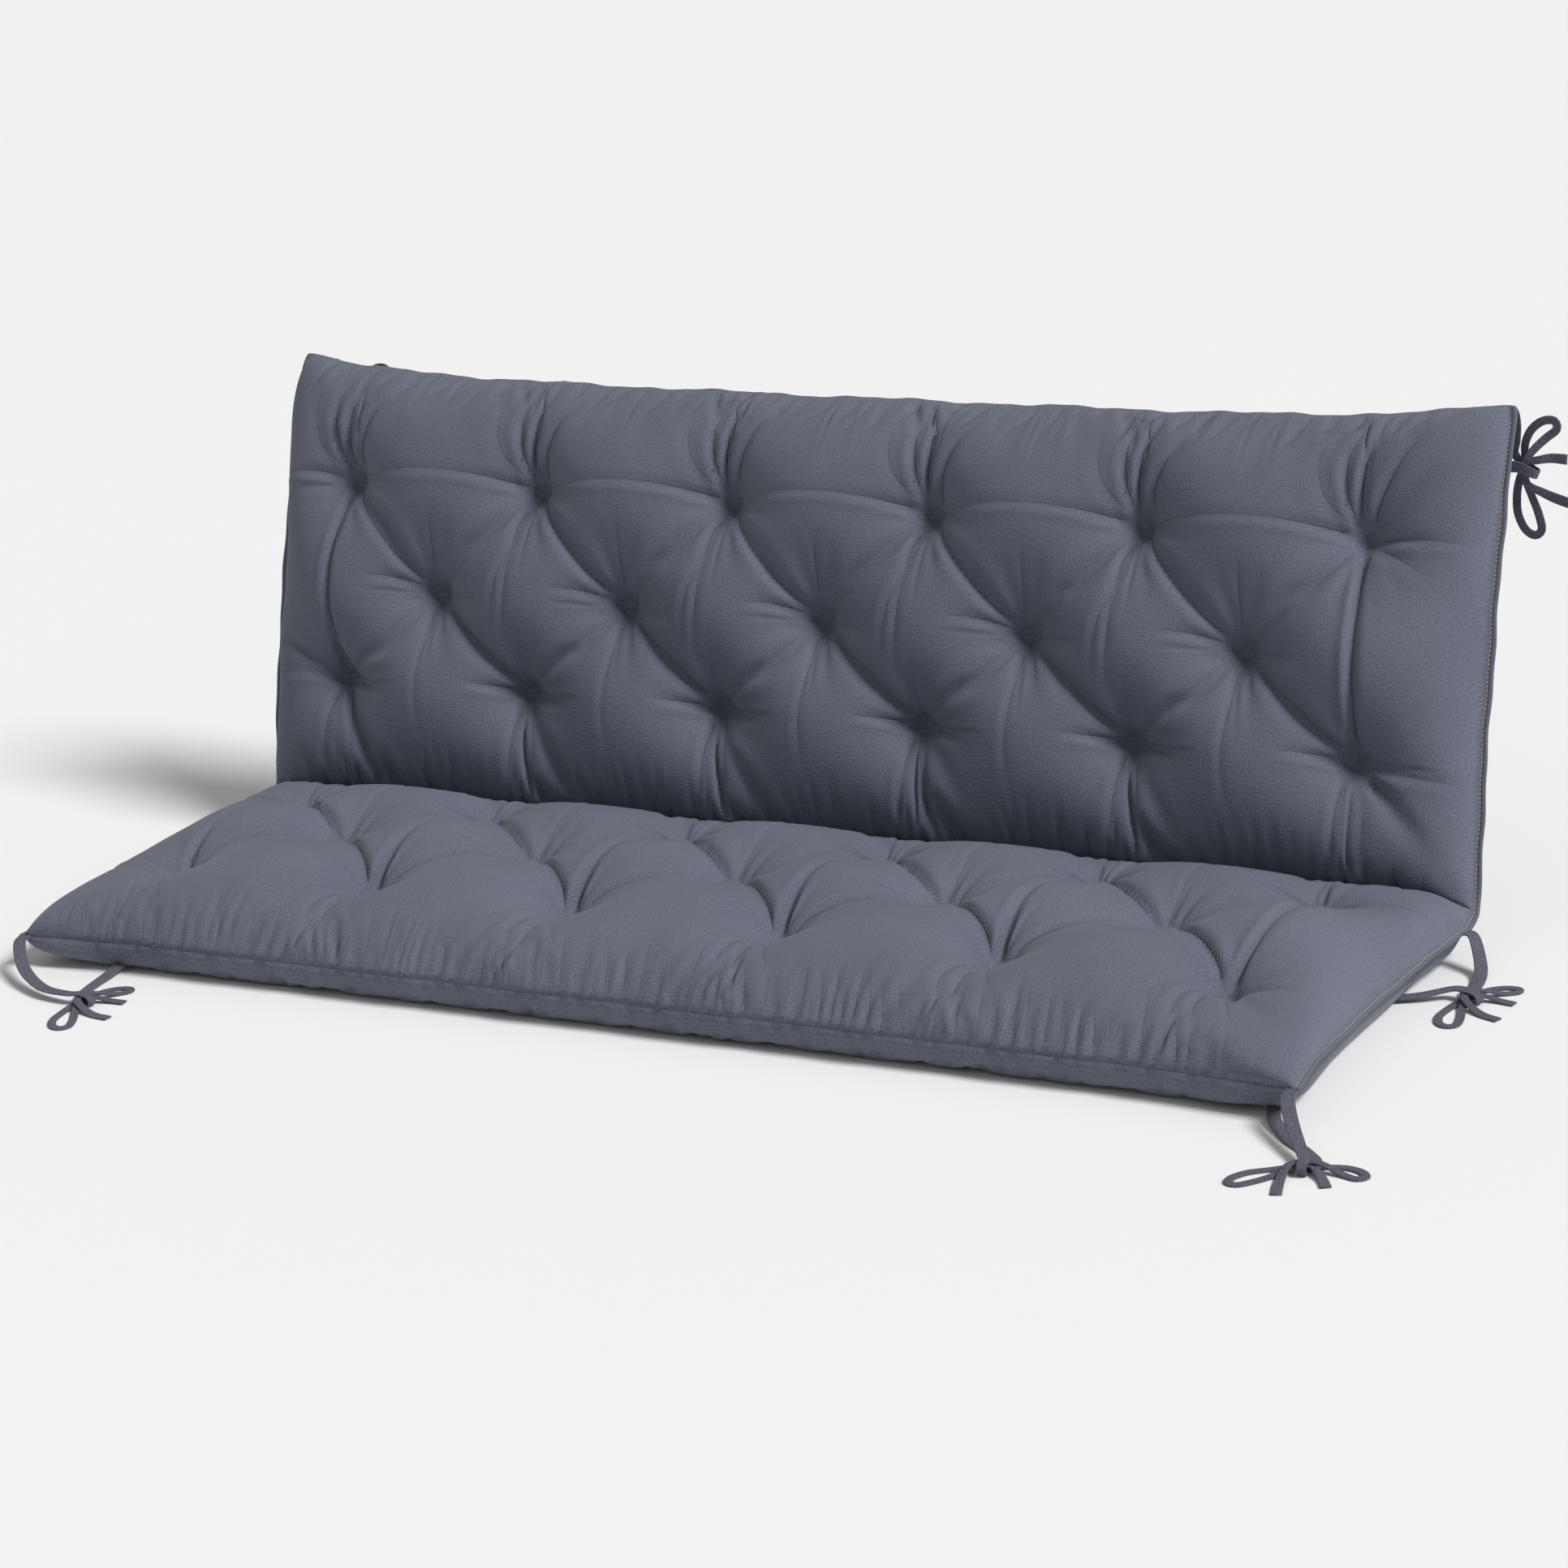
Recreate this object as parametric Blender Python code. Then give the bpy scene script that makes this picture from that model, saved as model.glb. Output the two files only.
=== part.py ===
"""Tufted bench cushion: one filled pad, seat and back in one piece, with a pair of tying tapes at six places.

Metres, +Z up. The seat lies on the floor, the front edge is at -Y, and the back rises at +Y.
"""

import math

import bmesh
import bpy
import numpy as np

# ---- driving sizes of the pad ----
WIDTH = 1.50
SEAT_DEPTH = 0.4975
BACK_HEIGHT = 0.5286
LEAN = math.radians(16.5)
SEAM_HEIGHT = 0.037
CROWN = 0.062
REAR_CROWN = 0.037
FOLD_ARC = 0.056
ORIGIN = (0.0060, 0.1638)

# ---- tufts: 6, 5 and 6 to a panel, in staggered rows ----
TUFT_PITCH = 0.25
TUFT_SHIFT = -0.010
TUFT_DROP = 0.031
TUFT_REACH = 0.088
SEAT_ROWS = (0.349, 0.215, 0.105)
BACK_ROWS = (0.148, 0.253, 0.378)
REAR_TUFT_DROP = 0.014
REAR_TUFT_REACH = 0.050

# ---- creases of the front cloth ----
NET_CREASE = {"drop": 0.0125, "reach": 0.034}
SLANT_CREASE = {"drop": 0.0155, "reach": 0.030}
EDGE_CREASE = {"drop": 0.0110, "reach": 0.026}
PLEAT = {"drop": 0.0050, "reach": 0.016, "spread": 0.040}

# ---- edges ----
EDGE_ROUND = 0.082
SIDE_ROUND = 0.060
REAR_ROUND = 0.046
SEAM_LIP = 0.0030
FOLD_SLOPE = 1.12
FOLD_THICKNESS = 0.004
REAR_FOLD_DROP = 0.007
CORNER_REACH = {"side": 0.075, "top": 0.120, "front": 0.075}
SIDE_DRAW = {"seat left": 0.004, "seat right": 0.016, "back left": -0.013, "back right": 0.008}
TOP_DRAW = 0.026
FRONT_DRAW = 0.014

# ---- the pad's grid of points ----
TUFT_STEPS = (0.0, 0.075, 0.20, 0.35, 0.50, 0.65, 0.80, 0.925)
LEFT_STEPS = (0.0, 0.04, 0.10, 0.20, 0.32, 0.50, 0.70, 0.88)
RIGHT_STEPS = (0.0, 0.12, 0.30, 0.50, 0.68, 0.80, 0.90, 0.96)
ROW_STEPS = {
    "front seam": (0.0, 0.035, 0.08, 0.16, 0.25, 0.42, 0.62, 0.86),
    "seat outer": (0.0, 0.20, 0.50, 0.80),
    "seat inner": (0.0, 0.20, 0.50, 0.80),
    "seat fold": (0.0, 0.16, 0.42, 0.70, 0.84, 0.94),
    "back fold": (0.0, 0.06, 0.16, 0.34, 0.60, 0.86),
    "back inner": (0.0, 0.20, 0.50, 0.80),
    "back outer": (0.0, 0.20, 0.50, 0.80),
    "top seam": (0.0, 0.14, 0.38, 0.58, 0.75, 0.84, 0.92, 0.965),
}

# ---- tapes ----
TAPE_THICKNESS = 0.0020
TAPE_FLOOR_GAP = 0.0004
LAYER = 0.0027
STATION = 0.0062
UNDER_TAPE = (
    {"x": 0.0080, "y": 0.0160, "layer": 0.95, "width": 0.0100},
    {"x": 0.0020, "y": 0.0050, "layer": 1.00, "width": 0.0080},
    {"x": -0.0060, "y": 0.0005, "layer": 1.00, "width": 0.0080},
    {"x": -0.0160, "y": -0.0005, "layer": 0.75, "width": 0.0085},
    {"x": -0.0320, "y": -0.0040, "layer": 0.00, "width": 0.0090},
    {"x": -0.0500, "y": -0.0130, "layer": 0.00, "width": 0.0090},
    {"x": -0.0620, "y": -0.0270, "layer": 0.00, "width": 0.0090},
    {"x": -0.0630, "y": -0.0390, "layer": 0.00, "width": 0.0090},
    {"x": -0.0540, "y": -0.0430, "layer": 0.00, "width": 0.0090},
    {"x": -0.0400, "y": -0.0330, "layer": 0.00, "width": 0.0090},
    {"x": -0.0270, "y": -0.0200, "layer": 0.20, "width": 0.0085},
    {"x": -0.0140, "y": -0.0090, "layer": 1.70, "width": 0.0080},
    {"x": -0.0030, "y": -0.0020, "layer": 2.00, "width": 0.0080},
    {"x": 0.0070, "y": -0.0030, "layer": 2.00, "width": 0.0080},
    {"x": 0.0140, "y": -0.0110, "layer": 1.60, "width": 0.0085},
    {"x": 0.0210, "y": -0.0220, "layer": 0.40, "width": 0.0100},
    {"x": 0.0270, "y": -0.0370, "layer": 0.00, "width": 0.0110},
)
OVER_TAPE = (
    {"x": -0.0060, "y": 0.0180, "layer": 3.60, "width": 0.0120},
    {"x": -0.0010, "y": 0.0050, "layer": 4.00, "width": 0.0120},
    {"x": 0.0000, "y": -0.0060, "layer": 4.05, "width": 0.0110},
    {"x": 0.0000, "y": -0.0140, "layer": 3.50, "width": 0.0100},
    {"x": 0.0000, "y": -0.0168, "layer": 2.00, "width": 0.0100},
    {"x": 0.0000, "y": -0.0140, "layer": 0.50, "width": 0.0100},
    {"x": 0.0005, "y": -0.0080, "layer": 0.00, "width": 0.0090},
    {"x": 0.0030, "y": -0.0010, "layer": 0.00, "width": 0.0080},
    {"x": 0.0100, "y": 0.0050, "layer": 0.00, "width": 0.0080},
    {"x": 0.0220, "y": 0.0100, "layer": 0.00, "width": 0.0085},
    {"x": 0.0380, "y": 0.0100, "layer": 0.00, "width": 0.0090},
    {"x": 0.0520, "y": 0.0030, "layer": 0.00, "width": 0.0090},
    {"x": 0.0580, "y": -0.0080, "layer": 0.00, "width": 0.0090},
    {"x": 0.0510, "y": -0.0140, "layer": 0.00, "width": 0.0090},
    {"x": 0.0380, "y": -0.0080, "layer": 0.20, "width": 0.0090},
    {"x": 0.0250, "y": -0.0030, "layer": 1.70, "width": 0.0085},
    {"x": 0.0130, "y": 0.0000, "layer": 3.00, "width": 0.0080},
    {"x": 0.0020, "y": 0.0005, "layer": 3.00, "width": 0.0080},
    {"x": -0.0080, "y": -0.0025, "layer": 3.00, "width": 0.0080},
    {"x": -0.0145, "y": -0.0125, "layer": 2.75, "width": 0.0080},
    {"x": -0.0165, "y": -0.0280, "layer": 0.80, "width": 0.0095},
    {"x": -0.0165, "y": -0.0420, "layer": 0.00, "width": 0.0110},
    {"x": -0.0140, "y": -0.0600, "layer": 0.00, "width": 0.0110},
)
# A bow's knot, its heading in degrees, and the two straps' points from the pad's edge to the knot.
BOWS = {
    "front_left": {
        "knot": (-0.6040, -0.4169, 0.0000),
        "turn": 75.0,
        "hangs": False,
        "over": ((-0.7360, -0.3392, 0.0370), (-0.7330, -0.3529, 0.0330), (-0.7040, -0.3849, 0.0190),
                 (-0.6620, -0.4099, 0.0110)),
        "under": ((-0.6280, -0.3129, 0.0086), (-0.6275, -0.3349, 0.0050), (-0.6270, -0.3699, 0.0015)),
    },
    "front_right": {
        "knot": (0.7980, -0.4349, 0.0000),
        "turn": 10.0,
        "hangs": False,
        "over": ((0.7480, -0.3386, 0.0370), (0.7490, -0.3519, 0.0345), (0.7630, -0.3789, 0.0240)),
        "under": ((0.7187, -0.3149, 0.0091), (0.7305, -0.3402, 0.0045), (0.7563, -0.3712, 0.0015),
                  (0.7803, -0.3923, 0.0015)),
    },
    "fold_right": {
        "knot": (0.7910, 0.0251, 0.0000),
        "turn": 60.0,
        "hangs": False,
        "over": ((0.7260, 0.0051, 0.0052), (0.7460, 0.0151, 0.0066)),
        "under": ((0.7526, 0.1251, 0.0370), (0.7640, 0.1191, 0.0330), (0.7780, 0.0971, 0.0090),
                  (0.7830, 0.0651, 0.0016)),
    },
    "fold_left": {
        "knot": (-0.6940, 0.2651, 0.0000),
        "turn": 180.0,
        "hangs": False,
        "over": ((-0.7430, 0.0951, 0.0370), (-0.7540, 0.0961, 0.0390), (-0.7680, 0.1131, 0.0390),
                 (-0.7730, 0.1501, 0.0230), (-0.7680, 0.1851, 0.0180), (-0.7340, 0.2101, 0.0150),
                 (-0.6960, 0.2201, 0.0130)),
        "under": ((-0.7446, 0.1201, 0.0370), (-0.7540, 0.1241, 0.0340), (-0.7620, 0.1451, 0.0140),
                  (-0.7600, 0.1851, 0.0026), (-0.7390, 0.2251, 0.0016)),
    },
    "top_right": {
        "knot": (0.7490, 0.3480, 0.4730),
        "turn": 65.0,
        "hangs": True,
        "over": ((0.7220, 0.3233, 0.5360), (0.7220, 0.3292, 0.5342), (0.7215, 0.3360, 0.5270),
                 (0.7190, 0.3405, 0.5080), (0.7200, 0.3395, 0.4880)),
        "under": ((0.7410, 0.3228, 0.5390), (0.7410, 0.3286, 0.5372), (0.7410, 0.3350, 0.5300),
                  (0.7405, 0.3400, 0.5160), (0.7385, 0.3425, 0.5000)),
    },
    "top_left": {
        "knot": (-0.6950, 0.3551, 0.4745),
        "turn": 60.0,
        "hangs": True,
        "over": ((-0.7340, 0.3228, 0.5380), (-0.7340, 0.3288, 0.5362), (-0.7340, 0.3370, 0.5270),
                 (-0.7310, 0.3430, 0.5080), (-0.7240, 0.3445, 0.4910)),
        "under": ((-0.7150, 0.3240, 0.5360), (-0.7150, 0.3300, 0.5342), (-0.7150, 0.3380, 0.5270),
                  (-0.7130, 0.3480, 0.5080)),
    },
}

CLOTH = {"colour": (0.125, 0.135, 0.175, 1.0), "roughness": 0.92}
TAPE = {"colour": (0.085, 0.090, 0.115, 1.0), "roughness": 0.88}


def clear_scene():
    for item in list(bpy.data.objects):
        bpy.data.objects.remove(item, do_unlink=True)


def material(name, look):
    made = bpy.data.materials.new(name)
    made.use_nodes = True
    shader = made.node_tree.nodes["Principled BSDF"]
    shader.inputs["Base Color"].default_value = look["colour"]
    shader.inputs["Roughness"].default_value = look["roughness"]
    shader.inputs["Metallic"].default_value = 0.0
    made.diffuse_color = look["colour"]
    return made


def add_mesh(name, points, faces, look):
    """One closed mesh object: its faces are split to triangles and point outwards."""
    shape = bmesh.new()
    corners = [shape.verts.new(point) for point in points]
    for face in faces:
        shape.faces.new([corners[index] for index in face])
    bmesh.ops.triangulate(shape, faces=shape.faces, quad_method="BEAUTY", ngon_method="BEAUTY")
    bmesh.ops.recalc_face_normals(shape, faces=shape.faces)
    mesh = bpy.data.meshes.new(name)
    shape.to_mesh(mesh)
    shape.free()
    mesh.shade_smooth()
    made = bpy.data.objects.new(name, mesh)
    made.data.materials.append(look)
    bpy.context.scene.collection.objects.link(made)
    return made


# ---------------------------------------------------------------- the pad
LENGTH = SEAT_DEPTH + BACK_HEIGHT
PANEL_ROWS = [SEAT_DEPTH - row for row in SEAT_ROWS] + [SEAT_DEPTH + row for row in BACK_ROWS]


def tuft_columns(row):
    """The tufts' places across the width: 6 in the outer rows of a panel, 5 in its middle row."""
    count = 5 if row in (1, 4) else 6
    return [TUFT_SHIFT + (i - (count - 1) / 2) * TUFT_PITCH for i in range(count)]


TUFTS = [[(x, PANEL_ROWS[row]) for x in tuft_columns(row)] for row in range(6)]


def creases():
    """Valleys of the front cloth, as (start, end, kind): the net between the tufts, and lines out to the edges."""
    found = []
    for first in (0, 3):
        outer, middle, inner = TUFTS[first], TUFTS[first + 1], TUFTS[first + 2]
        for i, tuft in enumerate(middle):
            found.append((outer[i], tuft, NET_CREASE))
            found.append((outer[i + 1], tuft, SLANT_CREASE))
            found.append((tuft, inner[i], SLANT_CREASE))
            found.append((tuft, inner[i + 1], NET_CREASE))
        for i in (0, 5):
            found.append((outer[i], inner[i], NET_CREASE))
    for row, edge in ((0, 0.0), (2, SEAT_DEPTH), (3, SEAT_DEPTH), (5, LENGTH)):
        for x, s in TUFTS[row]:
            found.append(((x, s), (x, edge), EDGE_CREASE))
            if edge != SEAT_DEPTH:
                found.append(((x, s), (x - PLEAT["spread"], edge), PLEAT))
                found.append(((x, s), (x + PLEAT["spread"], edge), PLEAT))
    return found


CREASES = creases()


def soft_top(values, power=4.0):
    return sum(value**power for value in values) ** (1.0 / power)


def crown_share(distance, reach):
    """0 at an edge and 1 from 'reach' inwards, steep at the edge like a filled pad's side."""
    t = np.clip(distance / reach, 0.0, 1.0)
    return (1.0 - (1.0 - t) ** 2.2) ** 0.56


def front_height(x, s):
    """Height of the front cloth above the seam's plane, at x across and s along the flat length."""
    valleys = []
    for row in TUFTS:
        for tx, ts in row:
            r = np.hypot(x - tx, s - ts)
            valleys.append(TUFT_DROP * np.clip(1.0 - r / TUFT_REACH, 0.0, 1.0) ** 2.1)
    for (ax, ay), (bx, by), kind in CREASES:
        span = math.hypot(bx - ax, by - ay)
        dx, dy = (bx - ax) / span, (by - ay) / span
        along = np.clip(((x - ax) * dx + (s - ay) * dy) / span, 0.0, 1.0)
        away = np.hypot(x - ax - along * span * dx, s - ay - along * span * dy)
        depth = kind["drop"] * (1.0 - 0.45 * np.sin(math.pi * along))
        valleys.append(depth * np.clip(1.0 - away / kind["reach"], 0.0, 1.0) ** 1.6)
    height = CROWN - soft_top(valleys)
    height = height * crown_share(WIDTH / 2 - np.abs(x), SIDE_ROUND)
    height = height * crown_share(s, EDGE_ROUND) * crown_share(LENGTH - s, EDGE_ROUND)
    fold_limit = FOLD_SLOPE * np.abs(s - SEAT_DEPTH) + FOLD_THICKNESS
    height = 1.0 / (1.0 / np.maximum(height, 1e-6) ** 5 + 1.0 / fold_limit**5) ** 0.2
    return np.maximum(height, SEAM_LIP / 2)


def rear_height(x, s):
    """Depth of the rear cloth behind the seam's plane: flat where the seat lies on the floor."""
    dips = []
    for row in TUFTS:
        for tx, ts in row:
            r = np.hypot(x - tx, s - ts)
            dips.append(REAR_TUFT_DROP * np.clip(1.0 - r / REAR_TUFT_REACH, 0.0, 1.0) ** 1.5)
    depth = REAR_CROWN - np.max(dips, axis=0)
    depth = depth * crown_share(WIDTH / 2 - np.abs(x), REAR_ROUND)
    depth = depth * crown_share(s, REAR_ROUND) * crown_share(LENGTH - s, REAR_ROUND)
    bend = np.clip(1.0 - np.abs(s - SEAT_DEPTH) / FOLD_ARC, 0.0, 1.0)
    return np.maximum(depth - REAR_FOLD_DROP * bend, SEAM_LIP / 2)


def pull(distance, edge):
    """How much of an edge's drawing-in is reached at this distance from a corner."""
    return 1.0 - np.exp(-np.maximum(distance, 0.0) / CORNER_REACH[edge])


def drawn_in(x, s):
    """The cloth's place in its own plane, with the seams pulled in between the corners."""
    seat = s < SEAT_DEPTH
    free = np.where(seat, s, LENGTH - s)
    left = np.where(seat, SIDE_DRAW["seat left"], SIDE_DRAW["back left"])
    right = np.where(seat, SIDE_DRAW["seat right"], SIDE_DRAW["back right"])
    side = np.where(x < 0, left, right) * pull(free, "side") * pull(np.abs(s - SEAT_DEPTH), "side")
    last = (TUFT_PITCH * 5) / 2
    out = np.clip((np.abs(x) - last) / (WIDTH / 2 - last), 0.0, 1.0)
    across = x - np.sign(x) * side * out**2
    corner = WIDTH / 2 - np.abs(x)
    top = np.clip((s - PANEL_ROWS[5]) / (LENGTH - PANEL_ROWS[5]), 0.0, 1.0)
    front = np.clip((PANEL_ROWS[0] - s) / PANEL_ROWS[0], 0.0, 1.0)
    along = s - TOP_DRAW * pull(corner, "top") * top**2 + FRONT_DRAW * pull(corner, "front") * front**2
    return across, along


def seam_plane(s):
    """(y, z) and the outward normal of the seam's plane, along the seat, round the fold and up the back."""
    turn = math.pi / 2 - LEAN
    radius = FOLD_ARC / turn
    start = SEAT_DEPTH - FOLD_ARC / 2
    bend = np.clip((s - start) / FOLD_ARC, 0.0, 1.0) * turn
    before = np.minimum(s - start, 0.0)
    after = np.maximum(s - start - FOLD_ARC, 0.0)
    corner = radius * math.tan(turn / 2)
    y = -corner + before + radius * np.sin(bend) + after * math.cos(turn)
    z = radius * (1.0 - np.cos(bend)) + after * math.sin(turn)
    return y, z, -np.sin(bend), np.cos(bend)


def pad_points(x, s, height):
    """World points at a signed height from the seam's plane: above it for the front cloth, below it for the rear."""
    across, along = drawn_in(x, s)
    y, z, ny, nz = seam_plane(along)
    places = (across + ORIGIN[0], y + ny * height + ORIGIN[1], z + nz * height + SEAM_HEIGHT)
    return np.stack(places, axis=-1)


def grid_lines():
    """The x values across the width and the s values along it, closer together at tufts, seams and the fold."""
    columns = [TUFT_SHIFT + (i - 5) * TUFT_PITCH / 2 for i in range(11)]
    stops = [-WIDTH / 2] + columns + [WIDTH / 2]
    steps = [LEFT_STEPS] + [TUFT_STEPS] * 10 + [RIGHT_STEPS]
    across = [a + (b - a) * t for a, b, share in zip(stops, stops[1:], steps) for t in share] + [WIDTH / 2]
    stops = [0.0] + PANEL_ROWS[:3] + [SEAT_DEPTH] + PANEL_ROWS[3:] + [LENGTH]
    along = [a + (b - a) * t for a, b, share in zip(stops, stops[1:], ROW_STEPS.values()) for t in share]
    return np.array(across), np.array(along + [LENGTH])


def rim(columns, rows):
    """The grid's outer points in order, as (column, row)."""
    last_c, last_r = columns - 1, rows - 1
    path = [(c, 0) for c in range(last_c)] + [(last_c, r) for r in range(last_r)]
    path += [(last_c - c, last_r) for c in range(last_c)] + [(0, last_r - r) for r in range(last_r)]
    return path


def build_pad(look):
    """The front cloth has every grid line, the rear cloth every second one, and a narrow lip joins them at the seam."""
    across, along = grid_lines()
    columns, rows = len(across), len(along)
    x, s = np.meshgrid(across, along, indexing="ij")
    front = pad_points(x, s, front_height(x, s))
    rear = pad_points(x, s, -rear_height(x, s))
    points, index = [], {}

    def corner(side, c, r):
        key = (side, c, r)
        if key not in index:
            index[key] = len(points)
            points.append(front[c, r] if side == "front" else rear[c, r])
        return index[key]

    faces = []
    for c in range(columns - 1):
        for r in range(rows - 1):
            faces.append([corner("front", *p) for p in ((c, r), (c + 1, r), (c + 1, r + 1), (c, r + 1))])
    for c in range(0, columns - 1, 2):
        for r in range(0, rows - 1, 2):
            ring = [(c, r), (c + 2, r), (c + 2, r + 2), (c, r + 2)]
            if r == 0:
                ring.insert(1, (c + 1, 0))
            if c == columns - 3:
                ring.insert(ring.index((c + 2, r)) + 1, (c + 2, r + 1))
            if r == rows - 3:
                ring.insert(ring.index((c + 2, r + 2)) + 1, (c + 1, r + 2))
            if c == 0:
                ring.append((0, r + 1))
            faces.append([corner("rear", *p) for p in reversed(ring)])
    path = rim(columns, rows)
    for a, b in zip(path, path[1:] + path[:1]):
        faces.append([corner("front", *a), corner("rear", *a), corner("rear", *b), corner("front", *b)])
    return add_mesh("pad", points, faces, look)


# ---------------------------------------------------------------- the tapes
def layer_height(layer):
    return TAPE_FLOOR_GAP + TAPE_THICKNESS / 2 + layer * LAYER


def placed(bow, row):
    """A point of the bow's table in world space: laid on the floor, or upright where it hangs."""
    angle = math.radians(bow["turn"])
    x, y = row["x"], row["y"]
    across = x * math.cos(angle) - y * math.sin(angle)
    along = x * math.sin(angle) + y * math.cos(angle)
    kx, ky, kz = bow["knot"]
    lift = layer_height(row["layer"])
    if bow["hangs"]:
        return (kx + across, ky - lift, kz + along)
    return (kx + across, ky + along, kz + lift)


def smooth_route(points, widths):
    """Stations along a Catmull-Rom curve through the points, about STATION apart, as (places, widths)."""
    points = np.array(points)
    ends = np.vstack([2 * points[0] - points[1], points, 2 * points[-1] - points[-2]])
    places, sizes = [], []
    for i in range(len(points) - 1):
        a, b, c, d = ends[i : i + 4]
        steps = max(1, round(float(np.linalg.norm(c - b)) / STATION))
        for k in range(steps):
            t = k / steps
            p = 2 * b + (c - a) * t + (2 * a - 5 * b + 4 * c - d) * t**2 + (3 * b - a - 3 * c + d) * t**3
            places.append(p / 2)
            sizes.append(widths[i] + (widths[i + 1] - widths[i]) * t)
    return np.array(places + [points[-1]]), np.array(sizes + [widths[-1]])


def side_directions(places, flat):
    """The tape's width direction at each station: carried along, and eased level with the face it lies on."""
    runs = np.gradient(places, axis=0)
    runs /= np.linalg.norm(runs, axis=1)[:, None]
    sides, side = [], np.cross(flat, runs[0])
    for run in runs:
        side = side - flat * np.dot(side, flat) * 0.35
        side = side - run * np.dot(side, run)
        side = side / np.linalg.norm(side)
        sides.append(side)
    return runs, np.array(sides)


def tape(name, bow, roots, table, look):
    """One tape: a flat strip from its root in the seam, through the knot, round its loop and out to its free end."""
    points = list(roots) + [placed(bow, row) for row in table]
    widths = [0.0140] * len(roots) + [row["width"] for row in table]
    places, widths = smooth_route(points, widths)
    flat = np.array((0.0, -1.0, 0.0) if bow["hangs"] else (0.0, 0.0, 1.0))
    runs, sides = side_directions(places, flat)
    ups = np.cross(runs, sides)
    corners, faces = [], []
    for place, side, up, width in zip(places, sides, ups, widths):
        for a, b in ((-1, -1), (1, -1), (1, 1), (-1, 1)):
            corners.append(place + side * a * width / 2 + up * b * TAPE_THICKNESS / 2)
    for i in range(len(places) - 1):
        for k in range(4):
            j = (k + 1) % 4
            faces.append([4 * i + k, 4 * i + j, 4 * i + 4 + j, 4 * i + 4 + k])
    last = 4 * (len(places) - 1)
    faces += [[0, 1, 2, 3], [last, last + 1, last + 2, last + 3]]
    return add_mesh(name, corners, faces, look)


def build_tapes(look):
    for place, bow in BOWS.items():
        tape(f"tape_{place}_over", bow, bow["over"], OVER_TAPE, look)
        tape(f"tape_{place}_under", bow, bow["under"], UNDER_TAPE, look)


clear_scene()
build_pad(material("cushion cloth", CLOTH))
build_tapes(material("tape cloth", TAPE))
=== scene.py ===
"""Tufted bench cushion: the filled pad's cloth, its seams and topstitch, and the tapes tied in bows.

Metres, +Z up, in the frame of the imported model. A small solver lets the pad's cloth settle under the push of
its filling, held in its seams, at its tufts and in its fold. The creases, pleats and puckers that the thread
draws in it are then pressed in along its normals.
"""

import math

import bpy
import numpy as np
from mathutils import Matrix, Vector


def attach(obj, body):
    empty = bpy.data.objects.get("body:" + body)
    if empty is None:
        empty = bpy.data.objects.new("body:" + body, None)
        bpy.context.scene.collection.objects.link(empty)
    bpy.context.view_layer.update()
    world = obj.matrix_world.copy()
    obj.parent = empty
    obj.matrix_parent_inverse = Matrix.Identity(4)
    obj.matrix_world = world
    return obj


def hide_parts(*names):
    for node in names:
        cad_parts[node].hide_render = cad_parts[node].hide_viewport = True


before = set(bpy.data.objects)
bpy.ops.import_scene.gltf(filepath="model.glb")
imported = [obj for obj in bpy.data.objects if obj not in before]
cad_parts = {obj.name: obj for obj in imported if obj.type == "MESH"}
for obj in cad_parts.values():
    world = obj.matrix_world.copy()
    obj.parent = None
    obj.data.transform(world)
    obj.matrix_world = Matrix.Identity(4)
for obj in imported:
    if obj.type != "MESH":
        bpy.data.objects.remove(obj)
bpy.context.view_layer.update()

# ---- the pad, as it is cut and sewn ----
# Flat sizes from seam to seam, the back's lean, and the crowns of both cloths above the seam's plane.
WIDTH = 1.50
SEAT_DEPTH = 0.4975
BACK_HEIGHT = 0.5286
LENGTH = SEAT_DEPTH + BACK_HEIGHT
LEAN = math.radians(16.5)
SEAM_HEIGHT = 0.037
CROWN = 0.062
REAR_CROWN = 0.037
FOLD_ARC = 0.056
ORIGIN = (0.0060, 0.1638)

# The rows are measured from the fold. A tuft draws the crown down by its drop, which fades over its reach.
TUFT_PITCH = 0.25
TUFT_SHIFT = -0.010
SEAT_ROWS = (0.349, 0.215, 0.105)
BACK_ROWS = (0.148, 0.253, 0.378)
PANEL_ROWS = [SEAT_DEPTH - row for row in SEAT_ROWS] + [SEAT_DEPTH + row for row in BACK_ROWS]
TUFT_DIP = {"drop": 0.036, "reach": 0.088, "power": 2.1}
REAR_TUFT_DIP = {"drop": 0.014, "reach": 0.050, "power": 1.5}

# How far in from the seams the crown is full, and the powers that shape its way up.
EDGE_ROUND = 0.082
SIDE_ROUND = 0.060
REAR_ROUND = 0.046
CROWN_POWERS = (2.2, 0.56)
BLEND_POWER = 5
SEAM_SUNK = 0.0014
STITCH_INSET = 0.0056
# The flat rim outside the topstitch: half its thickness at the edge and at the stitches, and its bulge between.
FLANGE = {"rim": 0.0012, "bulge": 0.0009, "stitch": 0.0008}
# A sewn edge's slight unevenness: size and wave length in metres, and where it starts, in turns.
SIDE_WAVES = ((0.0008, 0.147, 0.10), (0.0005, 0.061, 0.55))
TOP_WAVES = ((0.0011, 0.213, 0.05), (0.0008, 0.087, 0.40), (0.0004, 0.041, 0.70))
FRONT_WAVES = ((0.0010, 0.191, 0.30), (0.0006, 0.078, 0.15))
WAVE_OFFSET = 0.3
WAVE_FADE = 0.08
# The front cloth may stand this steeply from the fold, and the rear cloth drops this much round it.
FOLD_SLOPE = 1.12
FOLD_THICKNESS = 0.004
REAR_FOLD_DROP = 0.007
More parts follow.
